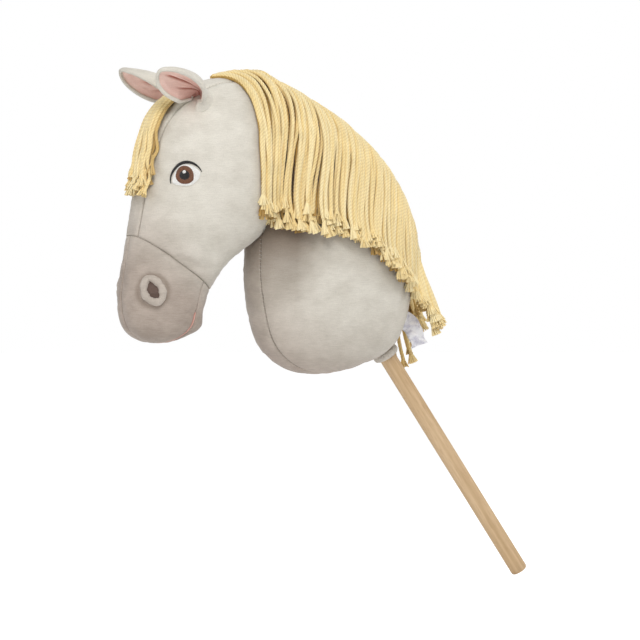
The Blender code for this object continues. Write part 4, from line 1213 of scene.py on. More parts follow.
def strand(u, layer_lift, bunch_shift):
    """One strand's centre line, with its own length, wander and pull towards its bunch."""
    length = 1 + chance.uniform(-0.09, 0.045)
    wander, waves = chance.uniform(0.002, 0.008), chance.uniform(0.5, 1.4)
    phase = chance.uniform(0, FULL_TURN)
    extra, slant = chance.uniform(0, 0.0022), chance.uniform(-0.014, 0.014)
    bunch = (math.floor(u * BUNCHES + bunch_shift) + 0.5 - bunch_shift) / BUNCHES
    line = []
    for v in np.linspace(0, 1, STRAND_POINTS) * length:
        pull = BUNCH_PULL * np.clip((v - BUNCH_START) / (1 - BUNCH_START), 0, 1) ** 1.3
        wave = wander * math.sin(waves * FULL_TURN * v + phase) * min(v * 2, 1)
        here = u + (bunch - u) * pull + wave + slant * v
        line.append(strand_place(here, v, layer_lift + extra))
    return np.array(line)


def mane_lines():
    """Centre lines and tones for one side, for each of its locks."""
    locks = [([], []) for _ in range(LOCKS)]
    # Strands of the lowest layer get tones below zero: painted shade in the gaps.
    for number, (count, lift) in enumerate(LAYERS):
        for i in range(count):
            u = float(np.clip((i + 0.5 + chance.uniform(-0.3, 0.3)) / count, 0.002, 0.998))
            lines, tones = locks[min(int(u * LOCKS), LOCKS - 1)]
            lines.append(strand(u, lift, number * BUNCH_SHIFT))
            tones.append(chance.uniform(0, 1) if number else chance.uniform(-1.0, -0.5))
    return locks


REAR_TUFTS = (
    (0.930, (-128, 303)), (0.945, (-124, 296)), (0.955, (-121, 304)), (0.965, (-118, 292)),
    (0.975, (-126, 308)), (0.985, (-115, 300)), (0.990, (-123, 288)), (0.995, (-119, 297)),
)
DANGLING = (
    (0.950, (-152, 246)), (0.960, (-146, 240)), (0.970, (-159, 250)), (0.980, (-141, 248)),
    (0.990, (-135, 262)), (0.955, (-127, 272)), (0.975, (-131, 254)),
)


def add_longer(lines, tones, ends, lowest_tone):
    """A few longer strands at the rear, each with its own end."""
    shares = np.linspace(0, 1, STRAND_POINTS)
    for u, (x, z) in ends:
        end = np.array([x, 0, z]) * MM
        lift = chance.uniform(0.001, 0.008)
        lines.append(np.array([strand_place(u, v, lift, end) for v in shares]))
        tones.append(chance.uniform(lowest_tone, 0.7))


# On the right, the dangling strands may get tones below zero: painted shade behind the neck.
for side, flip in SIDES:
    locks = mane_lines()
    add_longer(*locks[-1], REAR_TUFTS, 0.0)
    if side == "right":
        add_longer(*locks[-1], DANGLING, -0.6)
    for number, (lines, tones) in enumerate(locks, 1):
        source = lines_mesh("lines", [flip(line) for line in lines], tone=tones)
        piece = grow(f"yarn_{side}_{number}", source, YARN, yarn, Seed=number)
        sew_on(piece, ROOT, "yarn", f"mane_{side}_{number}")

# %% [markdown]
# The forelock is the same yarn, sewn between the ears. It falls forward over the brow and to the
# left, in two uneven layers.

# %% Forelock
FORELOCK_START, FORELOCK_END = 3.75, 7.2
FORELOCK_WIDTHS = (0.012, 0.040)
FORELOCK_DRIFT = 9
FORELOCK_ARCH = 0.003
FORELOCK_LAYERS = ((10, 0.0024, 1), (11, 0.0056, 1), (9, 0.0088, 0.75))


def forelock_line(across, lift):
    stop = FORELOCK_END + chance.uniform(-0.55, 0.15)
    sway, phase = chance.uniform(0.5, 2.0) * MM, chance.uniform(0, FULL_TURN)
    share = np.linspace(0, 1, 13)
    t = FORELOCK_START + (stop - FORELOCK_START) * share
    angle = FORELOCK_DRIFT * share
    arch = FORELOCK_ARCH * np.sin(math.pi * share) ** 2
    rise = lift * np.clip(0.3 + share / 0.12, 0, 1) + arch
    middle = HEAD.point(t, angle, rise)
    side = unit(np.cross(unit(np.gradient(middle, axis=0)), HEAD.normal(t, angle)))
    width = FORELOCK_WIDTHS[0] + (FORELOCK_WIDTHS[1] - FORELOCK_WIDTHS[0]) * share
    shift = across * width + sway * np.sin(4.5 * share + phase) * share
    return middle + side * shift[:, None]


# The forelock's lowest layer gets tones below zero: painted shade.
lines, tones = [], []
for number, (count, lift, width) in enumerate(FORELOCK_LAYERS):
    for i in range(count):
        across = ((i + 0.5) / count - 0.5) * width + chance.uniform(-0.03, 0.03)
        lines.append(forelock_line(across, lift))
        tones.append(chance.uniform(0, 0.8) if number else chance.uniform(-0.9, -0.4))
piece = grow("yarn_forelock", lines_mesh("lines", lines, tone=tones), YARN, yarn, Seed=21)
sew_on(piece, "forelock_fall", "yarn", "forelock")

# %% [markdown]
# Each ear is a leaf that is rolled round its length, with a thick hem that turns over the edge onto
# the front. The rose lining is sewn under that hem, puffs a little, and is gathered into pleats at
# the root. The hem and the puff both depend on the distance from the ear's outline, so that
# distance is measured first. At its foot the ear bends down into the head.

# %% The shape of an ear
EAR_STATION, EAR_ANGLE = 3.7, 27
EAR_LENGTH, EAR_HALF_WIDTH = 0.0740, 0.0375
EAR_HINGE_LIFT = 0.0083
EAR_SUNK = 0.0045
EAR_BEND = 0.0070
EAR_DIRECTION = np.array((-0.915, -0.27, 0.31))
EAR_HINGE_LINE = np.array((0.22, -0.93, -0.28))
EAR_LEAN = 0.006
EAR_WIDEST, EAR_NARROW, TIP_ROUND = 0.42, 0.72, 1.8
EAR_ROLL, ROOT_CURL, CURL_END = 100, 62, 0.34
TIP_FLAT, FLAT_START, TWIST_END = 52, 0.45, 0.5
EAR_MIDDLE = 0.0023
HEM_WIDTH, HEM_RISE = 0.0048, 0.0028
LINING_INSET = 0.0034
EAR_FILL = 0.7
EAR_SHARP = 80
EDGE_STEPS = np.array([0.0, 0.2, 0.7, 1.4, 2.3, 3.1, 3.8, 4.4, 5.0]) * MM


def smooth(x):
    x = np.clip(x, 0, 1)
    return x * x * (3 - 2 * x)


def dome(d, width):
    """Height of a round edge, 0 to 1, at distance d from it."""
    return np.sqrt(np.clip(1 - (1 - np.minimum(d / width, 1)) ** 2, 0, 1))


class Ear:
    """Points of an ear by reach r from the head's skin and distance s from its middle line."""

    def __init__(self, turned_out):
        self.along = unit(EAR_DIRECTION)
        self.across = unit(EAR_HINGE_LINE - self.along * np.dot(EAR_HINGE_LINE, self.along))
        station, angle = np.float64(EAR_STATION), np.float64(EAR_ANGLE)
        self.foot, self.outward = HEAD.point(station, angle), HEAD.normal(station, angle)
        self.hinge = self.foot + self.outward * EAR_HINGE_LIFT
        self.turned = math.radians(turned_out)
        self.length = EAR_LENGTH + EAR_HINGE_LIFT
        r = np.linspace(-EAR_SUNK, self.length, 700)
        side = np.stack([self.half(r), r], axis=-1)
        self.edge = np.concatenate([side, side * [-1, 1]])

    def half(self, r):
        a = np.clip(r / self.length, 0, 1)
        narrow = EAR_NARROW + (1 - EAR_NARROW) * smooth(a / EAR_WIDEST)
        tip = 1 - (np.maximum(a - EAR_WIDEST, 0) / (1 - EAR_WIDEST)) ** TIP_ROUND
        return EAR_HALF_WIDTH * narrow * np.maximum(tip, 0) ** (1 / TIP_ROUND)

    def middle(self, r):
        """Middle line and its direction: out of the head, then bent over to the ear's own line."""
        start, finish = self.foot - self.outward * EAR_SUNK, self.hinge + self.along * EAR_BEND
        bend_end = EAR_HINGE_LIFT + EAR_BEND
        t = np.clip((r + EAR_SUNK) / (bend_end + EAR_SUNK), 0, 1)[..., None]
        spot = (1 - t) ** 2 * start + 2 * t * (1 - t) * self.hinge + t**2 * finish
        spot = spot + self.along * np.maximum(r - bend_end, 0)[..., None]
        return spot, unit((1 - t) * (self.hinge - start) + t * (finish - self.hinge))

    def grid(self, step, inset=0.0):
        """Reaches and distances of a grid that is fine near the outline."""
        steps = EDGE_STEPS if inset == 0 else EDGE_STEPS[:4]
        total = self.length - inset
        even = np.linspace(-EAR_SUNK, total - steps[-1], round(total / step))
        r = np.concatenate([even, total - steps[-2::-1]])
        half = np.maximum(self.half(np.minimum(r + inset * 0.5, self.length)) - inset, 0.4 * MM)
        near_edge = np.minimum(steps, half[:, None] * 0.9 * steps / steps[-1])
        middle = np.linspace(-1, 1, round(2 * EAR_HALF_WIDTH / step))[1:-1]
        left = near_edge - half[:, None]
        s = np.concatenate([left, middle * -left[:, -1:], -left[:, ::-1]], axis=1)
        return np.broadcast_to(r[:, None], s.shape), s

    def edge_distance(self, r, s):
        spots = np.stack([s, r], axis=-1)
        gaps = np.linalg.norm(spots[:, :, None, :] - self.edge[None, None], axis=-1)
        return gaps.min(axis=-1)

    def place(self, r, s, lift):
        """The point that is lift metres in front of the ear's rolled and twisted sheet."""
        a = np.clip(r / self.length, 0, 1)
        curled = np.clip(1 - a / CURL_END, 0, 1) ** 1.2
        flattened = np.maximum(a - FLAT_START, 0) / (1 - FLAT_START)
        roll = np.radians(EAR_ROLL + ROOT_CURL * curled - TIP_FLAT * flattened)
        roll = np.minimum(roll, self.half(r) / 0.011 + 0.02)
        radius = np.maximum(self.half(r), 0.3 * MM) / roll
        turn = s / radius
        x = (radius - lift) * np.sin(turn)
        z = radius - (radius - lift) * np.cos(turn) - EAR_LEAN * np.sin(np.pi * a)
        spot, heading = self.middle(r)
        across = unit(self.across - heading * np.sum(self.across * heading, axis=-1, keepdims=True))
        opening = np.cross(across, heading)
        twist = self.turned * smooth(a / TWIST_END)[..., None]
        sideways = across * np.cos(twist) - opening * np.sin(twist)
        outwards = opening * np.cos(twist) + across * np.sin(twist)
        return spot + sideways * x[..., None] + outwards * z[..., None]


# %% [markdown]
# The cover and the lining are both slabs on the ear's grid. Each has a height over the middle of
# the ear: the cover's front rises at its hem, and the lining's falls in its pleats. Both pieces are
# baked where they stand, on no body.

# %% Ear covers and linings
PLEATS = (
    (-0.10, 0.90, 0.0030), (0.36, 0.70, 0.0024), (-0.52, 0.60, 0.0020), (0.70, 0.50, 0.0014),
)
EAR_TURNS = {"left": 50, "right": -8}


def thinner_to_tip(ear, r):
    return np.minimum(1, 0.35 + ear.half(r) / 0.014)


def add_ear_slab(name, ear, flip, r, s, front, back, finish):
    faces = (flip(ear.place(r, s, lift)) for lift in (front, back))
    return add_slab(name, *faces, finish, sharp=EAR_SHARP)


def add_ear_cover(side, ear, flip):
    r, s = ear.grid(0.0024)
    d = ear.edge_distance(r, s)
    thin = thinner_to_tip(ear, r)
    hem = np.sqrt(np.clip(1 - (2 * d / HEM_WIDTH - 1) ** 2, 0, 1)) * (d < HEM_WIDTH)
    pinch = 1 + 0.06 * np.sin(r / 0.0021) * np.sin(r / 0.0057)
    front = EAR_MIDDLE + (0.0002 + HEM_RISE * hem * pinch) * thin
    foot = 0.0050 * np.clip(1 - r / 0.016, 0, 1.25) ** 2
    back = EAR_MIDDLE - (0.0002 + 0.0026 * dome(d, 0.0034)) * thin - foot
    back = back + 0.0005 * np.sin(s / 0.006 + r / 0.02) * smooth(d / 0.01)
    return add_ear_slab(f"plush_ear_{side}", ear, flip, r, s, front, back, plush_cloth)


def add_ear_lining(side, ear, flip):
    r, s = ear.grid(0.0013, LINING_INSET)
    d = ear.edge_distance(r, s) - LINING_INSET
    a = r / ear.length
    puff = 0.0009 * smooth(d / 0.0015) + 0.0022 * smooth(d / 0.008)
    crease = np.zeros(r.shape)
    for where, reach, depth in PLEATS:
        middle = where * ear.half(r) * (0.35 + 0.65 * np.clip(a / 0.6, 0, 1))
        width = 0.0008 + 0.0016 * np.clip(a, 0, 1)
        fade = smooth((reach - a) / 0.25)
        crease = crease + depth * np.exp(-(((s - middle) / width) ** 2)) * fade
        puff = puff + 0.5 * depth * np.exp(-(((s - middle - 3 * width) / (1.6 * width)) ** 2)) * fade
    top = EAR_MIDDLE + 0.0004 + np.maximum(puff - crease, 0.0002) * thinner_to_tip(ear, r)
    bottom = np.full(r.shape, EAR_MIDDLE - 0.0004)
    made = add_ear_slab(f"lining_ear_{side}", ear, flip, r, s, top, bottom, rose_cloth)
    # Painted shade: darker in the pleats, towards the root and under the hem.
    shade = crease / 0.0020 + 0.7 * smooth(1 - a / 0.45) + 0.3 * (1 - smooth(d / 0.002))
    set_attribute(made, "fold_shade", np.clip(np.tile(shade.ravel(), 2), 0, 1))
    return made


for side, flip in SIDES:
    ear, body = Ear(EAR_TURNS[side]), f"{side}_ear"
    bend = tuple(flip(ear.foot)), tuple(flip(ear.hinge + ear.along * EAR_BEND))
    cover, lining = add_ear_cover(side, ear, flip), add_ear_lining(side, ear, flip)
    covered = (f"ear_cover_{side}", f"ear_root_{side}")
    sew_on(cover, body, "plush", *covered, fill=EAR_FILL, bend=bend)
    sew_on(lining, body, "rose_plush", f"ear_lining_{side}", fill=EAR_FILL, bend=bend)

# %% [markdown]
# The eyes are embroidered in satin stitch: hundreds of short threads laid side by side. Each area is
# a thin backing with threads on top. A place on the cheek is given in metres towards the muzzle and
# towards the forehead, on axes that are tilted to suit the eye.

# %% Places and patches on the head


def patch_place(place, right, up):
    """The station and angle at an offset from a place, in metres along the tilted axes there."""
    station, angle, tilt = place
    along, around = HEAD.steps(np.float64(station), np.float64(angle))
    turn = math.radians(tilt)
    x = right * math.cos(turn) - up * math.sin(turn)
    y = right * math.sin(turn) + up * math.cos(turn)
    first, second = unit(along), unit(-around)
    second = unit(second - first * np.dot(first, second))
    offset = x[..., None] * first + y[..., None] * second
    basis = np.stack([along, around], axis=1)
    solved = offset @ np.linalg.pinv(basis).T
    return station + solved[..., 0], angle + solved[..., 1]


def almond(length, height, power=1.6):
    def radius(a):
        c, s = np.abs(np.cos(a)), np.abs(np.sin(a))
        return 1 / ((c / (length / 2)) ** power + (s / (height / 2)) ** power) ** (1 / power)

    return radius


def disc(diameter):
    return lambda a: np.full(np.shape(a), diameter / 2)


def lay(place, right, up, lift):
    t, angle = patch_place(place, np.asarray(right, float), np.asarray(up, float))
    return HEAD.point(t, angle, np.broadcast_to(lift, t.shape))


def circle_turns(count):
    return np.arange(count) * 2 * math.pi / count


RINGS, SPOKES = 7, 40


def add_patch(name, flip, place, radius, lifts, finish, crown=0.0, shift=(0, 0)):
    """A closed patch on the head: rings of points from its middle to its edge, in two layers."""
    turns = circle_turns(SPOKES)
    share = np.linspace(0, 1, RINGS)[1:, None]
    right = share * radius(turns) * np.cos(turns) + shift[0]
    up = share * radius(turns) * np.sin(turns) + shift[1]
    layers = []
    for number, lift in enumerate(lifts):
        rise = lift + crown * number * (1 - share**2) * np.ones(SPOKES)
        middle = lay(place, [shift[0]], [shift[1]], lift + crown * number)
        layers += [middle, lay(place, right, up, rise).reshape(-1, 3)]
    faces, size = [], 1 + (RINGS - 1) * SPOKES
    spokes = [(k, (k + 1) % SPOKES) for k in range(SPOKES)]
    for first in (0, size):
        faces += [(first, first + 1 + k, first + 1 + after) for k, after in spokes]
        faces += grid_faces(RINGS - 1, SPOKES, first + 1, wrap=True)
    low, high = size - SPOKES, 2 * size - SPOKES
    faces += [(low + k, high + k, high + after, low + after) for k, after in spokes]
    return add_mesh(name, flip(np.concatenate(layers)), faces, finish)


def join(name, *pieces):
    """Puts several pieces into one mesh. They must share their finish."""
    work = bmesh.new()
    for piece in pieces:
        work.from_mesh(piece.data)
    mesh = bpy.data.meshes.new(name)
    work.to_mesh(mesh)
    work.free()
    mesh.materials.append(pieces[0].data.materials[0])
    for piece in pieces:
        bpy.data.objects.remove(piece)
    return add_object(name, mesh)


# %% [markdown]
# Embroidery thread shines a little. Its noise is fine, so that the tone drifts from one stitch to
# the next.

# %% Thread finishes


def thread_finish(name, light, dark):
    thread = Finish(name, 0.42, Sheen_Weight=0.2, Specular_IOR_Level=0.45)
    drift = thread.noise(thread.place(), 700.0, 2.0)
    thread.colour(thread.ramp(drift, ((0.3, dark), (0.7, light))))
    fibres = thread.noise(thread.place(), 3000.0, 2.0)
    thread.bump(fibres, 0.3, 0.0003)
    return thread.material


white_thread = thread_finish("white_thread", (0.90, 0.89, 0.86), (0.78, 0.77, 0.74))
brown_thread = thread_finish("brown_thread", (0.215, 0.088, 0.040), (0.120, 0.046, 0.022))
black_thread = thread_finish("black_thread", (0.020, 0.018, 0.018), (0.008, 0.007, 0.007))

# %% [markdown]
# An eye is five areas, one over the other: white, iris, pupil, glint and upper lid. White, pupil and
# glint have straight stitches, the iris has stitches that run outwards, and the lid is a slanting
# satin line. The stitches rise in the middle of an area, as real ones do over their backing.

# %% Embroidered eyes
EYE = (5.95, 66, 44)
EYE_LENGTH, EYE_HEIGHT = 0.034, 0.025
IRIS_DIAMETER, PUPIL_DIAMETER, GLINT_DIAMETER = 0.0215, 0.0125, 0.0036
IRIS_SHIFT = (0.0008, 0.0006)
GLINT_SHIFT = (-0.0016, 0.0036)
LID_OFFSET, LID_WIDTH = 0.0022, 0.0036
STITCH_GAP = 0.00050
IRIS_HOLE, LID_LIFT, BACKING_SHARE = 0.0050, 0.0007, 0.97


def clipped_to_eye(radius, shift):
    """The iris reaches as far as the almond lets it."""
    edge = almond(EYE_LENGTH - 0.001, EYE_HEIGHT - 0.001)

    def reach(a):
        x, y = radius(a) * np.cos(a) + shift[0], radius(a) * np.sin(a) + shift[1]
        far, limit = np.hypot(x, y), edge(np.arctan2(y, x))
        return radius(a) * np.minimum(1, limit / far)

    return reach


def straight_stitches(radius, lift, crown, shift):
    """Threads side by side across an area of the eye."""
    turns = np.linspace(0, 2 * math.pi, 361)
    share = np.linspace(-1, 1, 7)
    x, y = radius(turns) * np.cos(turns), radius(turns) * np.sin(turns)
    lines = []
    for at in np.arange(x.min() + STITCH_GAP / 2, x.max(), STITCH_GAP):
        inside = np.interp(at, x[180::-1], y[180::-1]), np.interp(at, x[180:], y[180:])
        top = max(inside) + chance.uniform(0, 0.3) * MM
        bottom = min(inside) - chance.uniform(0, 0.3) * MM
        up = np.linspace(bottom, top, 7)
        rise = lift + crown * (1 - (at / x.max()) ** 2) * (1 - share**2)
        rise = rise - 0.0006 * np.abs(share) ** 6
        lines.append(lay(EYE, at + 0 * up + shift[0], up + shift[1], rise))
    return lines


def round_stitches(radius, lift, crown, shift):
    """Threads that run outwards from the pupil, as in an iris."""
    lines = []
    share = np.linspace(0, 1, 6)
    count = round(math.pi * IRIS_DIAMETER / STITCH_GAP)
    for number in range(count):
        a = 2 * math.pi * number / count
        start = IRIS_HOLE if number % 2 else IRIS_HOLE * 1.35
        stop = float(radius(np.array([a]))[0]) + chance.uniform(-0.1, 0.2) * MM
        reach = np.linspace(start, stop, 6)
        rise = lift + crown * (1 - share**2) - 0.0005 * share**8
        lines.append(lay(EYE, reach * math.cos(a) + shift[0], reach * math.sin(a) + shift[1], rise))
    return lines


def lid_stitches():
    """Slanting threads across a curved line above the eye, widest in its middle."""
    sweep = np.radians(np.linspace(178, 2, 105))
    right = (EYE_LENGTH / 2 + LID_OFFSET) * np.cos(sweep)
    up = (EYE_HEIGHT / 2 + LID_OFFSET) * np.sin(sweep)
    width = LID_WIDTH * (0.22 + 0.78 * np.sin(np.linspace(0, math.pi, 105)))
    outward = unit(np.stack([np.cos(sweep) / EYE_LENGTH, np.sin(sweep) / EYE_HEIGHT], axis=1))
    lean = np.stack([outward[:, 1], -outward[:, 0]], axis=1) * 0.35
    lines = []
    for x, y, w, direction in zip(right, up, width, unit(outward + lean)):
        share = np.linspace(-0.5, 0.5, 5) * (w + chance.uniform(-0.15, 0.15) * MM)
        rise = LID_LIFT + 0.0005 * (1 - (np.linspace(-1, 1, 5)) ** 2) - 0.0003
        lines.append(lay(EYE, x + share * direction[0], y + share * direction[1], rise))
    return lines


def add_threads(name, flip, lines, finish):
    source = lines_mesh("stitches", [flip(line) for line in lines])
    return grow(name, source, THREAD, finish, Thread_radius=0.00033, Ring_spacing=0.0012)


WHITE, BROWN = ("thread_white", white_thread), ("thread_brown", brown_thread)
BLACK = ("thread_black", black_thread)
IRIS = clipped_to_eye(disc(IRIS_DIAMETER), IRIS_SHIFT)
GLINT_AT = (IRIS_SHIFT[0] + GLINT_SHIFT[0], IRIS_SHIFT[1] + GLINT_SHIFT[1])
# Each area has its thread, outline and shift. Then, in metres, come the heights of its backing and
# of its stitches, and how far the stitches and the backing rise in the middle.
EYE_AREAS = (
    ("white", WHITE, almond(EYE_LENGTH, EYE_HEIGHT), (0, 0), 0.0002, 0.0012, 0.0006, 0.0004),
    ("iris", BROWN, IRIS, IRIS_SHIFT, 0.0011, 0.0020, 0.0004, 0.0004),
    ("pupil", BLACK, disc(PUPIL_DIAMETER), IRIS_SHIFT, 0.0018, 0.0027, 0.0005, 0.0004),
    ("glint", WHITE, disc(GLINT_DIAMETER), GLINT_AT, 0.0026, 0.0034, 0.0002, 0.0001),
)


def add_eye(side, flip):
    for part, (slot, finish), radius, shift, low, lift, swell, crown in EYE_AREAS:
        name, lifts = f"stitched_{part}_{side}", (low, lift - 0.0001)
        stitches = round_stitches if part == "iris" else straight_stitches
        lines = stitches(radius, lift, swell, shift)
        smaller = lambda a: radius(a) * BACKING_SHARE
        backing = add_patch(name + "_backing", flip, EYE, smaller, lifts, finish, crown, shift)
        piece = join(name, backing, add_threads(name + "_threads", flip, lines, finish))
        sew_on(piece, ROOT, slot, f"eye_{part}_{side}")
    lid = add_threads(f"stitched_lid_{side}_threads", flip, lid_stitches(), black_thread)
    sew_on(join(f"stitched_lid_{side}", lid), ROOT, "thread_black", f"eye_lid_{side}")


for side, flip in SIDES:
    add_eye(side, flip)

# %% [markdown]
# Each nostril is a stuffed ring of the same plush, pinched a little as it goes round. Inside it lies
# a flat lining patch, dark with painted shade of the hollow. The mouth stays closed. A strip of rose
# lining shows between its lips.

# %% Nostrils and mouth
NOSTRIL_LENGTH, NOSTRIL_HEIGHT = 0.038, 0.029
RING_RADIUS = 0.0043
RING_LIFT = 0.0012
RING_DYE, RING_FILL, MOUTH_FILL = 0.55, 0.9, 0.8
HOLLOW_INSET = 2.2 * RING_RADIUS
HOLLOW_LIFTS = (-0.0006, 0.0005)
LINING_GAP = 0.0004
LIP_OPENING = 0.0034
NOSTRIL_SHADE, NOSTRIL_SHADE_DARK = (0.165, 0.115, 0.095), (0.090, 0.060, 0.048)
nostril_shade_cloth = plush("nostril_shade_plush", NOSTRIL_SHADE, NOSTRIL_SHADE_DARK)


def add_nostril_ring(side, flip, around=72, sides=16):
    outline = almond(NOSTRIL_LENGTH, NOSTRIL_HEIGHT, 1.8)
    turns = circle_turns(around)
    pinch = 1 + 0.10 * np.sin(5 * turns + 0.6) + 0.05 * np.sin(11 * turns)
    reach = outline(turns) - RING_RADIUS
    t, angle = patch_place(NOSTRIL, reach * np.cos(turns), reach * np.sin(turns))
    line, outward = HEAD.point(t, angle, RING_LIFT), HEAD.normal(t, angle)
    tangent = unit(np.roll(line, -1, 0) - np.roll(line, 1, 0))
    across = unit(np.cross(tangent, outward))
    turn = circle_turns(sides)[:, None]
    ring = outward[:, None] * np.cos(turn) + across[:, None] * np.sin(turn)
    points = flip((line[:, None] + ring * (RING_RADIUS * pinch)[:, None, None]).reshape(-1, 3))
    faces = ring_faces(around, sides)
    made = add_mesh(f"plush_nostril_{side}", points, faces, plush_cloth, sharp=80)
    set_attribute(made, "dye_and_shade", np.full(around * sides, RING_DYE))
    return made


for side, flip in SIDES:
    ring = add_nostril_ring(side, flip)
    sew_on(ring, ROOT, "muzzle_plush", f"nostril_rim_{side}", fill=RING_FILL)
    inner = almond(NOSTRIL_LENGTH - HOLLOW_INSET, NOSTRIL_HEIGHT - HOLLOW_INSET)
    hollow = add_patch(f"hollow_nostril_{side}", flip, NOSTRIL, inner, HOLLOW_LIFTS, nostril_shade_cloth)
    sew_on(hollow, ROOT, "muzzle_plush", f"nostril_lining_{side}")


def add_mouth_lining(rows=60, columns=7):
    """A strip along both halves of the mouth line, with one more row across its front."""
    t = np.linspace(LIP_CORNER + 0.45, LIP_END, rows)[:, None]
    across = np.linspace(1, -1, columns)[None, :]
    _, around = HEAD.steps(t[:, 0], np.full(rows, float(LIP_LINE)))
    half = (lip(t[:, 0]) - LINING_GAP) / np.linalg.norm(around, axis=-1)
    angle = LIP_LINE + across * half[:, None]
    stations = np.broadcast_to(t, angle.shape)
    puff = 0.0009 * (1 - across**2) * np.ones(angle.shape)
    tip = HEAD.last - 0.02
    nose, chin = HEAD.skin(np.float64(tip), np.array([0.0, 180.0]))
    forward = unit(nose - chin)
    outward = unit(np.cross(STICK_SIDE, forward))
    if np.dot(outward, HEAD.normal(np.float64(tip), np.float64(90.0))) < 0:
        outward = -outward
    layers = []
    for depth, swell in ((0.0009, 1), (0.0026, 0)):
        side = HEAD.point(stations, angle, -depth + swell * puff)
        bridge = (nose + chin) / 2 + forward * (LIP_OPENING / 2 - LINING_GAP) * -across[0][:, None]
        bridge = bridge + outward * (-depth + swell * puff[0][:, None])
        layers.append(np.concatenate([side, bridge[None], mirrored(side)[::-1]]))
    made = add_slab("lining_mouth", layers[0], layers[1], rose_cloth, sharp=80)
    # Painted shade over the whole strip, darker at its edges where it tucks under the lips.
    shade = np.broadcast_to(0.25 + 0.5 * across**2, (2 * rows + 1, columns))
    set_attribute(made, "fold_shade", np.tile(shade.ravel(), 2))
    return made


sew_on(add_mouth_lining(), ROOT, "rose_plush", "mouth_lining", fill=MOUTH_FILL)

# %% [markdown]
# The stick is a plain dowel, turned from pale wood. Its grain runs along it, so the pattern is
# worked out on axes that lean with the stick. A gathered hem closes the neck round it.

# %% Stick and hem
STICK_RADIUS, STICK_LENGTH = 0.010, 0.637
STICK_CHAMFER = 0.0022
HEM_POSITION, HEM_HEIGHT = 0.3116, 0.0084
HEM_INNER, HEM_OUTER = 0.0105, 0.0152
# The hem takes painted shade, as dark as the lower end of the neck.
HEM_SHADE, HEM_FILL = 0.30, 0.8
WOOD_LIGHT, WOOD_MID, WOOD_LINE = (0.680, 0.490, 0.295), (0.540, 0.365, 0.195), (0.400, 0.240, 0.115)
BAND_SCALE, PORE_SCALE, SLOW_SCALE = 190.0, 1400.0, 9.0


def wood_finish():
    wood = Finish("wood", 0.52, Specular_IOR_Level=0.35)
    along_stick = wood.place((1, 1, 26), (0, -STICK_LEAN, 0), "TEXTURE")
    bands = wood.noise(along_stick, BAND_SCALE, 3.0, 0.6)
    pores = wood.noise(along_stick, PORE_SCALE, 2.0, 0.6)
    slow = wood.noise(wood.place(), SLOW_SCALE, 2.0)
    tone = wood.math("MULTIPLY_ADD", slow, 0.50, bands)
    colour = wood.ramp(tone, ((0.55, WOOD_MID), (0.90, WOOD_LIGHT)))
    lines = wood.ramp(pores, ((0.33, (0.45, 0.45, 0.45)), (0.44, (1.0, 1.0, 1.0))))
    wood.colour(wood.mix(lines, WOOD_LINE, colour))
    wood.bump(pores, 0.12, 0.0003)
    return wood.material


wood = wood_finish()


def turned(name, profile, sides, finish, ripple=None, sharp=50):
    """A solid turned about the stick's line. The profile holds radius and height, and starts and
    ends on that line, or meets itself again to make a ring."""
    turns = circle_turns(sides)
    ring = STICK_FRONT * np.cos(turns)[:, None] + STICK_SIDE * np.sin(turns)[:, None]
    solid = profile[0][0] == 0
    rows = np.array(profile[1:-1] if solid else profile)
    swell = np.ones((len(rows), sides)) if ripple is None else ripple(turns, rows)
    reach, height = rows[:, 0][:, None] * swell, rows[:, 1][:, None, None]
    points = (height * STICK_UP + reach[..., None] * ring[None]).reshape(-1, 3)
    if solid:
        points = np.concatenate([points, [STICK_UP * profile[0][1]], [STICK_UP * profile[-1][1]]])
    faces = (capped_faces if solid else ring_faces)(len(rows), sides)
    return add_mesh(name, points, faces, finish, sharp)


r, c = STICK_RADIUS, STICK_CHAMFER
foot = [(0, 0), (r - c - 0.0012, 0), (r - c, 0.0003), (r - 0.5 * c, 0.4 * c), (r, c + 0.0006)]
shaft = [(r, h) for h in np.linspace(0.02, STICK_LENGTH - 0.006, 40)]
head = [(r - 0.5 * c, STICK_LENGTH - 0.001), (r - c, STICK_LENGTH), (0, STICK_LENGTH)]
sew_on(turned("wooden_stick", foot + shaft + head, 64, wood, sharp=35), ROOT, "wood", "stick")


def gathers(turns, rows):
    out = np.clip((rows[:, 0] - HEM_INNER) / (HEM_OUTER - HEM_INNER), 0, 1)[:, None]
    return 1 + out * (0.045 * np.sin(13 * turns) + 0.02 * np.sin(29 * turns + 1))[None, :]


around = np.linspace(0, 2 * math.pi, 17)[:-1]
middle, half = (HEM_INNER + HEM_OUTER) / 2, (HEM_OUTER - HEM_INNER) / 2
round_hem = [(middle + half * math.cos(a), HEM_POSITION + HEM_HEIGHT / 2 * math.sin(a)) for a in around]
hem = turned("plush_hem", round_hem, 120, plush_cloth, gathers, sharp=80)
set_attribute(hem, "dye_and_shade", np.full(len(hem.data.vertices), HEM_SHADE))
sew_on(hem, ROOT, "plush", "neck_hem", fill=HEM_FILL)

# %% [markdown]
# The sewn-in tag is a folded strip of satin, left blank. It droops from the seam and is a little
# crumpled. Its own hinge line is the sewn edge.

# %% Tag
LABEL_LENGTH, LABEL_WIDTH = 0.038, 0.022
LABEL_STATION, LABEL_START = 1.45, 0.0032
LABEL_DIRECTION, LABEL_DROOP = np.array((0.90, 0.0, -0.44)), np.array((0.25, -0.10, -1.0))
LABEL_GRID = (46, 17)
CRUMPLES = ((0.0030, 7, 3.2, 0.4, 2.5), (0.0014, 15, -9, 0.0, 2))
LABEL_OPENING, LABEL_OUTSIDE, LABEL_INSIDE = 0.0011, 0.00022, 0.00010
SATIN_LIGHT, SATIN_SHADE = (0.86, 0.86, 0.89), (0.58, 0.57, 0.66)


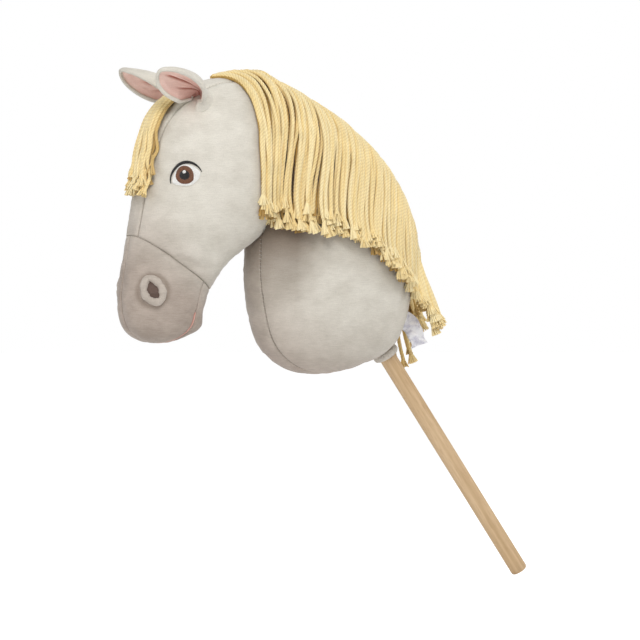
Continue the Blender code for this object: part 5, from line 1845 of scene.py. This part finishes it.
def satin_finish():
    satin = Finish("satin", 0.34, Sheen_Weight=0.3, Specular_IOR_Level=0.5)
    weave = satin.noise(satin.place((1, 1, 8)), 2200.0, 2.0)
    cloud = satin.noise(satin.place(), 160.0, 2.0)
    satin.colour(satin.ramp(cloud, ((0.35, SATIN_SHADE), (0.6, SATIN_LIGHT))))
    satin.bump(weave, 0.15, 0.0003)
    return satin.material


def add_tag():
    """A sheet that droops and crumples, folded back on itself, and thick enough to be cloth."""
    place = NECK.point(np.float64(LABEL_STATION), np.float64(180.0))
    down, droop = unit(LABEL_DIRECTION), unit(LABEL_DROOP)
    rows, columns = LABEL_GRID
    share = np.linspace(0, 1, rows)
    leaving, falling = 1 - smooth(share * 1.6)[:, None] * 0.9, smooth(share * 2.0)[:, None]
    heading = unit(down * leaving + droop * falling)
    steps = np.cumsum(heading[:-1] * LABEL_LENGTH / (rows - 1), axis=0)
    line = place + down * LABEL_START + np.concatenate([[np.zeros(3)], steps])
    across = unit(np.cross(heading, [0.0, 1.0, 0.0]))
    facing = np.cross(across, heading)
    b = np.linspace(-0.5, 0.5, columns)
    a = share[:, None]
    crumple = 0.0016 * np.abs(b * 2) ** 3 * np.sin(4 * a + 1)
    for size, along, aside, shift, growth in CRUMPLES:
        crumple = crumple + size * np.sin(along * a + aside * b + shift) * smooth(a * growth)
    narrow = 1 - 0.10 * np.sin(math.pi * share)[:, None] + 0.04 * np.sin(9 * a)
    sheet = line[:, None] + across[:, None] * (b[None] * narrow * LABEL_WIDTH)[..., None]
    sheet = sheet + facing[:, None] * crumple[..., None]
    opened = LABEL_OPENING * np.sin(math.pi * np.clip(share, 0, 0.9) / 0.9)[:, None]
    opened = (opened * (1 - 0.3 * np.cos(6 * b))[None])[..., None]
    facing = np.broadcast_to(facing[:, None], sheet.shape)
    loop = np.concatenate([sheet - facing * opened, (sheet + facing * opened)[::-1]])
    normal = np.concatenate([-facing, facing[::-1]])
    outside, inside = loop + normal * LABEL_OUTSIDE, loop - normal * LABEL_INSIDE
    return add_slab("satin_tag", outside, inside, satin_finish(), sharp=70)


sew_on(add_tag(), "label_flap", "label_satin", "care_label")

# %% [markdown]
# What lies inside stays as packed, with a plain finish of its own: stuffing, tape, sleeve, felt pad
# and tacks.

# %% Finishes of the inner parts


def plain_finish(name, light, dark, roughness, scale, metallic=0.0):
    made = Finish(name, roughness, Metallic=metallic)
    made.colour(made.ramp(made.noise(made.place(), scale), ((0.35, dark), (0.65, light))))
    return made.material


wadding = plain_finish("wadding", (0.80, 0.78, 0.72), (0.68, 0.66, 0.60), 0.95, 300)
cotton_tape = plain_finish("cotton_tape", (0.66, 0.50, 0.24), (0.52, 0.37, 0.15), 0.9, 900)
sleeve_cloth = plain_finish("sleeve_cloth", (0.60, 0.57, 0.50), (0.50, 0.47, 0.41), 0.9, 700)
grey_felt = plain_finish("grey_felt", (0.32, 0.32, 0.33), (0.24, 0.24, 0.25), 0.95, 600)
tack_steel = plain_finish("tack_steel", (0.62, 0.62, 0.63), (0.50, 0.50, 0.51), 0.35, 400, 1.0)
INNER = {
    "head_filling": wadding,
    "neck_filling": wadding,
    "mane_tape": cotton_tape,
    "stick_sleeve": sleeve_cloth,
    "stick_end_pad": grey_felt,
    "sleeve_tack_1": tack_steel,
    "sleeve_tack_2": tack_steel,
}
for node, finish in INNER.items():
    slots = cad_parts[node].data.materials
    slots.clear()
    slots.append(finish)
print("inner parts", len(INNER))

# %% [markdown]
# The panels are closed by hand with ladder stitches. They cross each seam and draw it in.

# %% Seam stitches
LADDER_STEP, LADDER_HALF, LADDER_SLANT = 0.0044, 0.0019, 0.4
SEAM_POINTS, JAW_SKIP = 80, 30
LADDER_LIFTS = np.array((-0.05, -0.20, -0.75, -0.95, -0.75, -0.20, -0.05)) * MM
seam_thread = thread_finish("seam_thread", (0.600, 0.560, 0.480), (0.460, 0.420, 0.350))


def ladder(form, t, angle):
    """Short threads across a seam that is given by stations and angles along it."""
    run = arc_length(form.skin(t, angle))
    spots = np.arange(LADDER_STEP, run[-1] - LADDER_STEP, LADDER_STEP)
    stations, angles = np.interp(spots, run, t), np.interp(spots, run, angle)
    middle, outward = form.point(stations, angles), form.normal(stations, angles)
    tangent = unit(np.gradient(middle, axis=0))
    across = unit(np.cross(outward, tangent)) + tangent * LADDER_SLANT
    reach = np.linspace(-LADDER_HALF, LADDER_HALF, len(LADDER_LIFTS))
    lines = middle[:, None] + across[:, None] * reach[:, None] + outward[:, None] * LADDER_LIFTS[:, None]
    return list(lines)


def straight_seam(form, stations, angle):
    return ladder(form, stations, np.full(len(stations), float(angle)))


even = np.linspace(0, 1, SEAM_POINTS)
stitches = []
for sign in (-1, 1):
    top = float(neck_end(sign * GUSSET_HALF % 360)) - 0.15
    run = NECK_HOLE + 0.1 + (top - NECK_HOLE - 0.1) * even
    stitches += straight_seam(NECK, run, sign * GUSSET_HALF)
    run = HEAD_START + 0.3 + (MUZZLE_SEAM - HEAD_START - 0.4) * even
    stitches += straight_seam(HEAD, run, sign * FOREHEAD_HALF)
    stitches += straight_seam(HEAD, run[JAW_SKIP:], sign * JAW_ANGLE)
stitches += ladder(HEAD, np.full(SEAM_POINTS, float(MUZZLE_SEAM)), 360 * even)
source = lines_mesh("stitches", stitches)
piece = grow("seam_stitches", source, THREAD, seam_thread, Thread_radius=0.00026, Ring_spacing=0.0010)
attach(piece, ROOT)
print("seam stitches", len(stitches), "faces", len(piece.data.polygons))

# %% [markdown]
# The studio is a wide pale floor in a white room. The camera sees both as plain white, and the
# floor keeps a soft shadow. The key lamp, above the toy on the camera's side, shapes its form.
# Three weaker lamps light its face, its back and its far side, and the even light of the room fills
# the shadows.

# %% Floor and light
FLOOR_RADIUS, FLOOR_SIDES = 9.0, 64
STAGE_GAP = 0.0006
FLOOR_COLOUR, FLOOR_GLOW = (0.90, 0.90, 0.90, 1), (0.66, 0.66, 0.66, 1)
ROOM_STRENGTH = 0.44
LAMP_TARGET = Vector((-0.30, 0.0, 0.38))
LAMPS = {
    "key_lamp": ((-1.2, -2.4, 2.5), 1.6, 49),
    "face_lamp": ((-2.8, -0.6, 0.9), 1.4, 9),
    "rim_lamp": ((1.6, -0.6, 2.0), 1.2, 16),
    "far_lamp": ((0.2, 2.6, 1.9), 1.6, 22),
}


def add_stage():
    shade = Finish("studio_floor", 0.9)
    shade.colour(FLOOR_COLOUR)
    seen = shade.node("ShaderNodeLightPath").outputs["Is Camera Ray"]
    glow = shade.result("ShaderNodeEmission", {"Color": FLOOR_GLOW, "Strength": seen})
    both = shade.result("ShaderNodeAddShader", {0: shade.shader.outputs[0], 1: glow})
    shade.put(shade.nodes["Material Output"].inputs["Surface"], both)
    turns = circle_turns(FLOOR_SIDES)
    rim = np.stack([np.cos(turns), np.sin(turns), 0 * turns], axis=1) * FLOOR_RADIUS
    rim = rim + [0, 0, STAGE_Z - STAGE_GAP]
    floor = add_mesh("studio_floor", rim, [tuple(range(FLOOR_SIDES))], shade.material)


def add_lamp(name, place, size, power):
    light = bpy.data.lights.new(name, "AREA")
    light.shape = "DISK"
    light.size = size
    light.energy = power
    lamp = add_object(name, light)
    lamp.location = place
    lamp.rotation_mode = "QUATERNION"
    lamp.rotation_quaternion = (LAMP_TARGET - Vector(place)).to_track_quat("-Z", "Y")


def add_room_light():
    world = bpy.data.worlds.new("room")
    world.use_nodes = True
    room = Nodes(world.node_tree)
    seen = room.node("ShaderNodeLightPath").outputs["Is Camera Ray"]
    bright = {"Value": seen, "To Min": ROOM_STRENGTH, "To Max": 1.0}
    background = room.nodes["Background"]
    room.put(background.inputs["Strength"], room.result("ShaderNodeMapRange", bright))
    room.put(background.inputs["Color"], (1, 1, 1, 1))
    bpy.context.scene.world = world


add_stage()
add_room_light()
for name, (place, size, power) in LAMPS.items():
    add_lamp(name, place, size, power)
bpy.context.scene.view_settings.view_transform = "Standard"
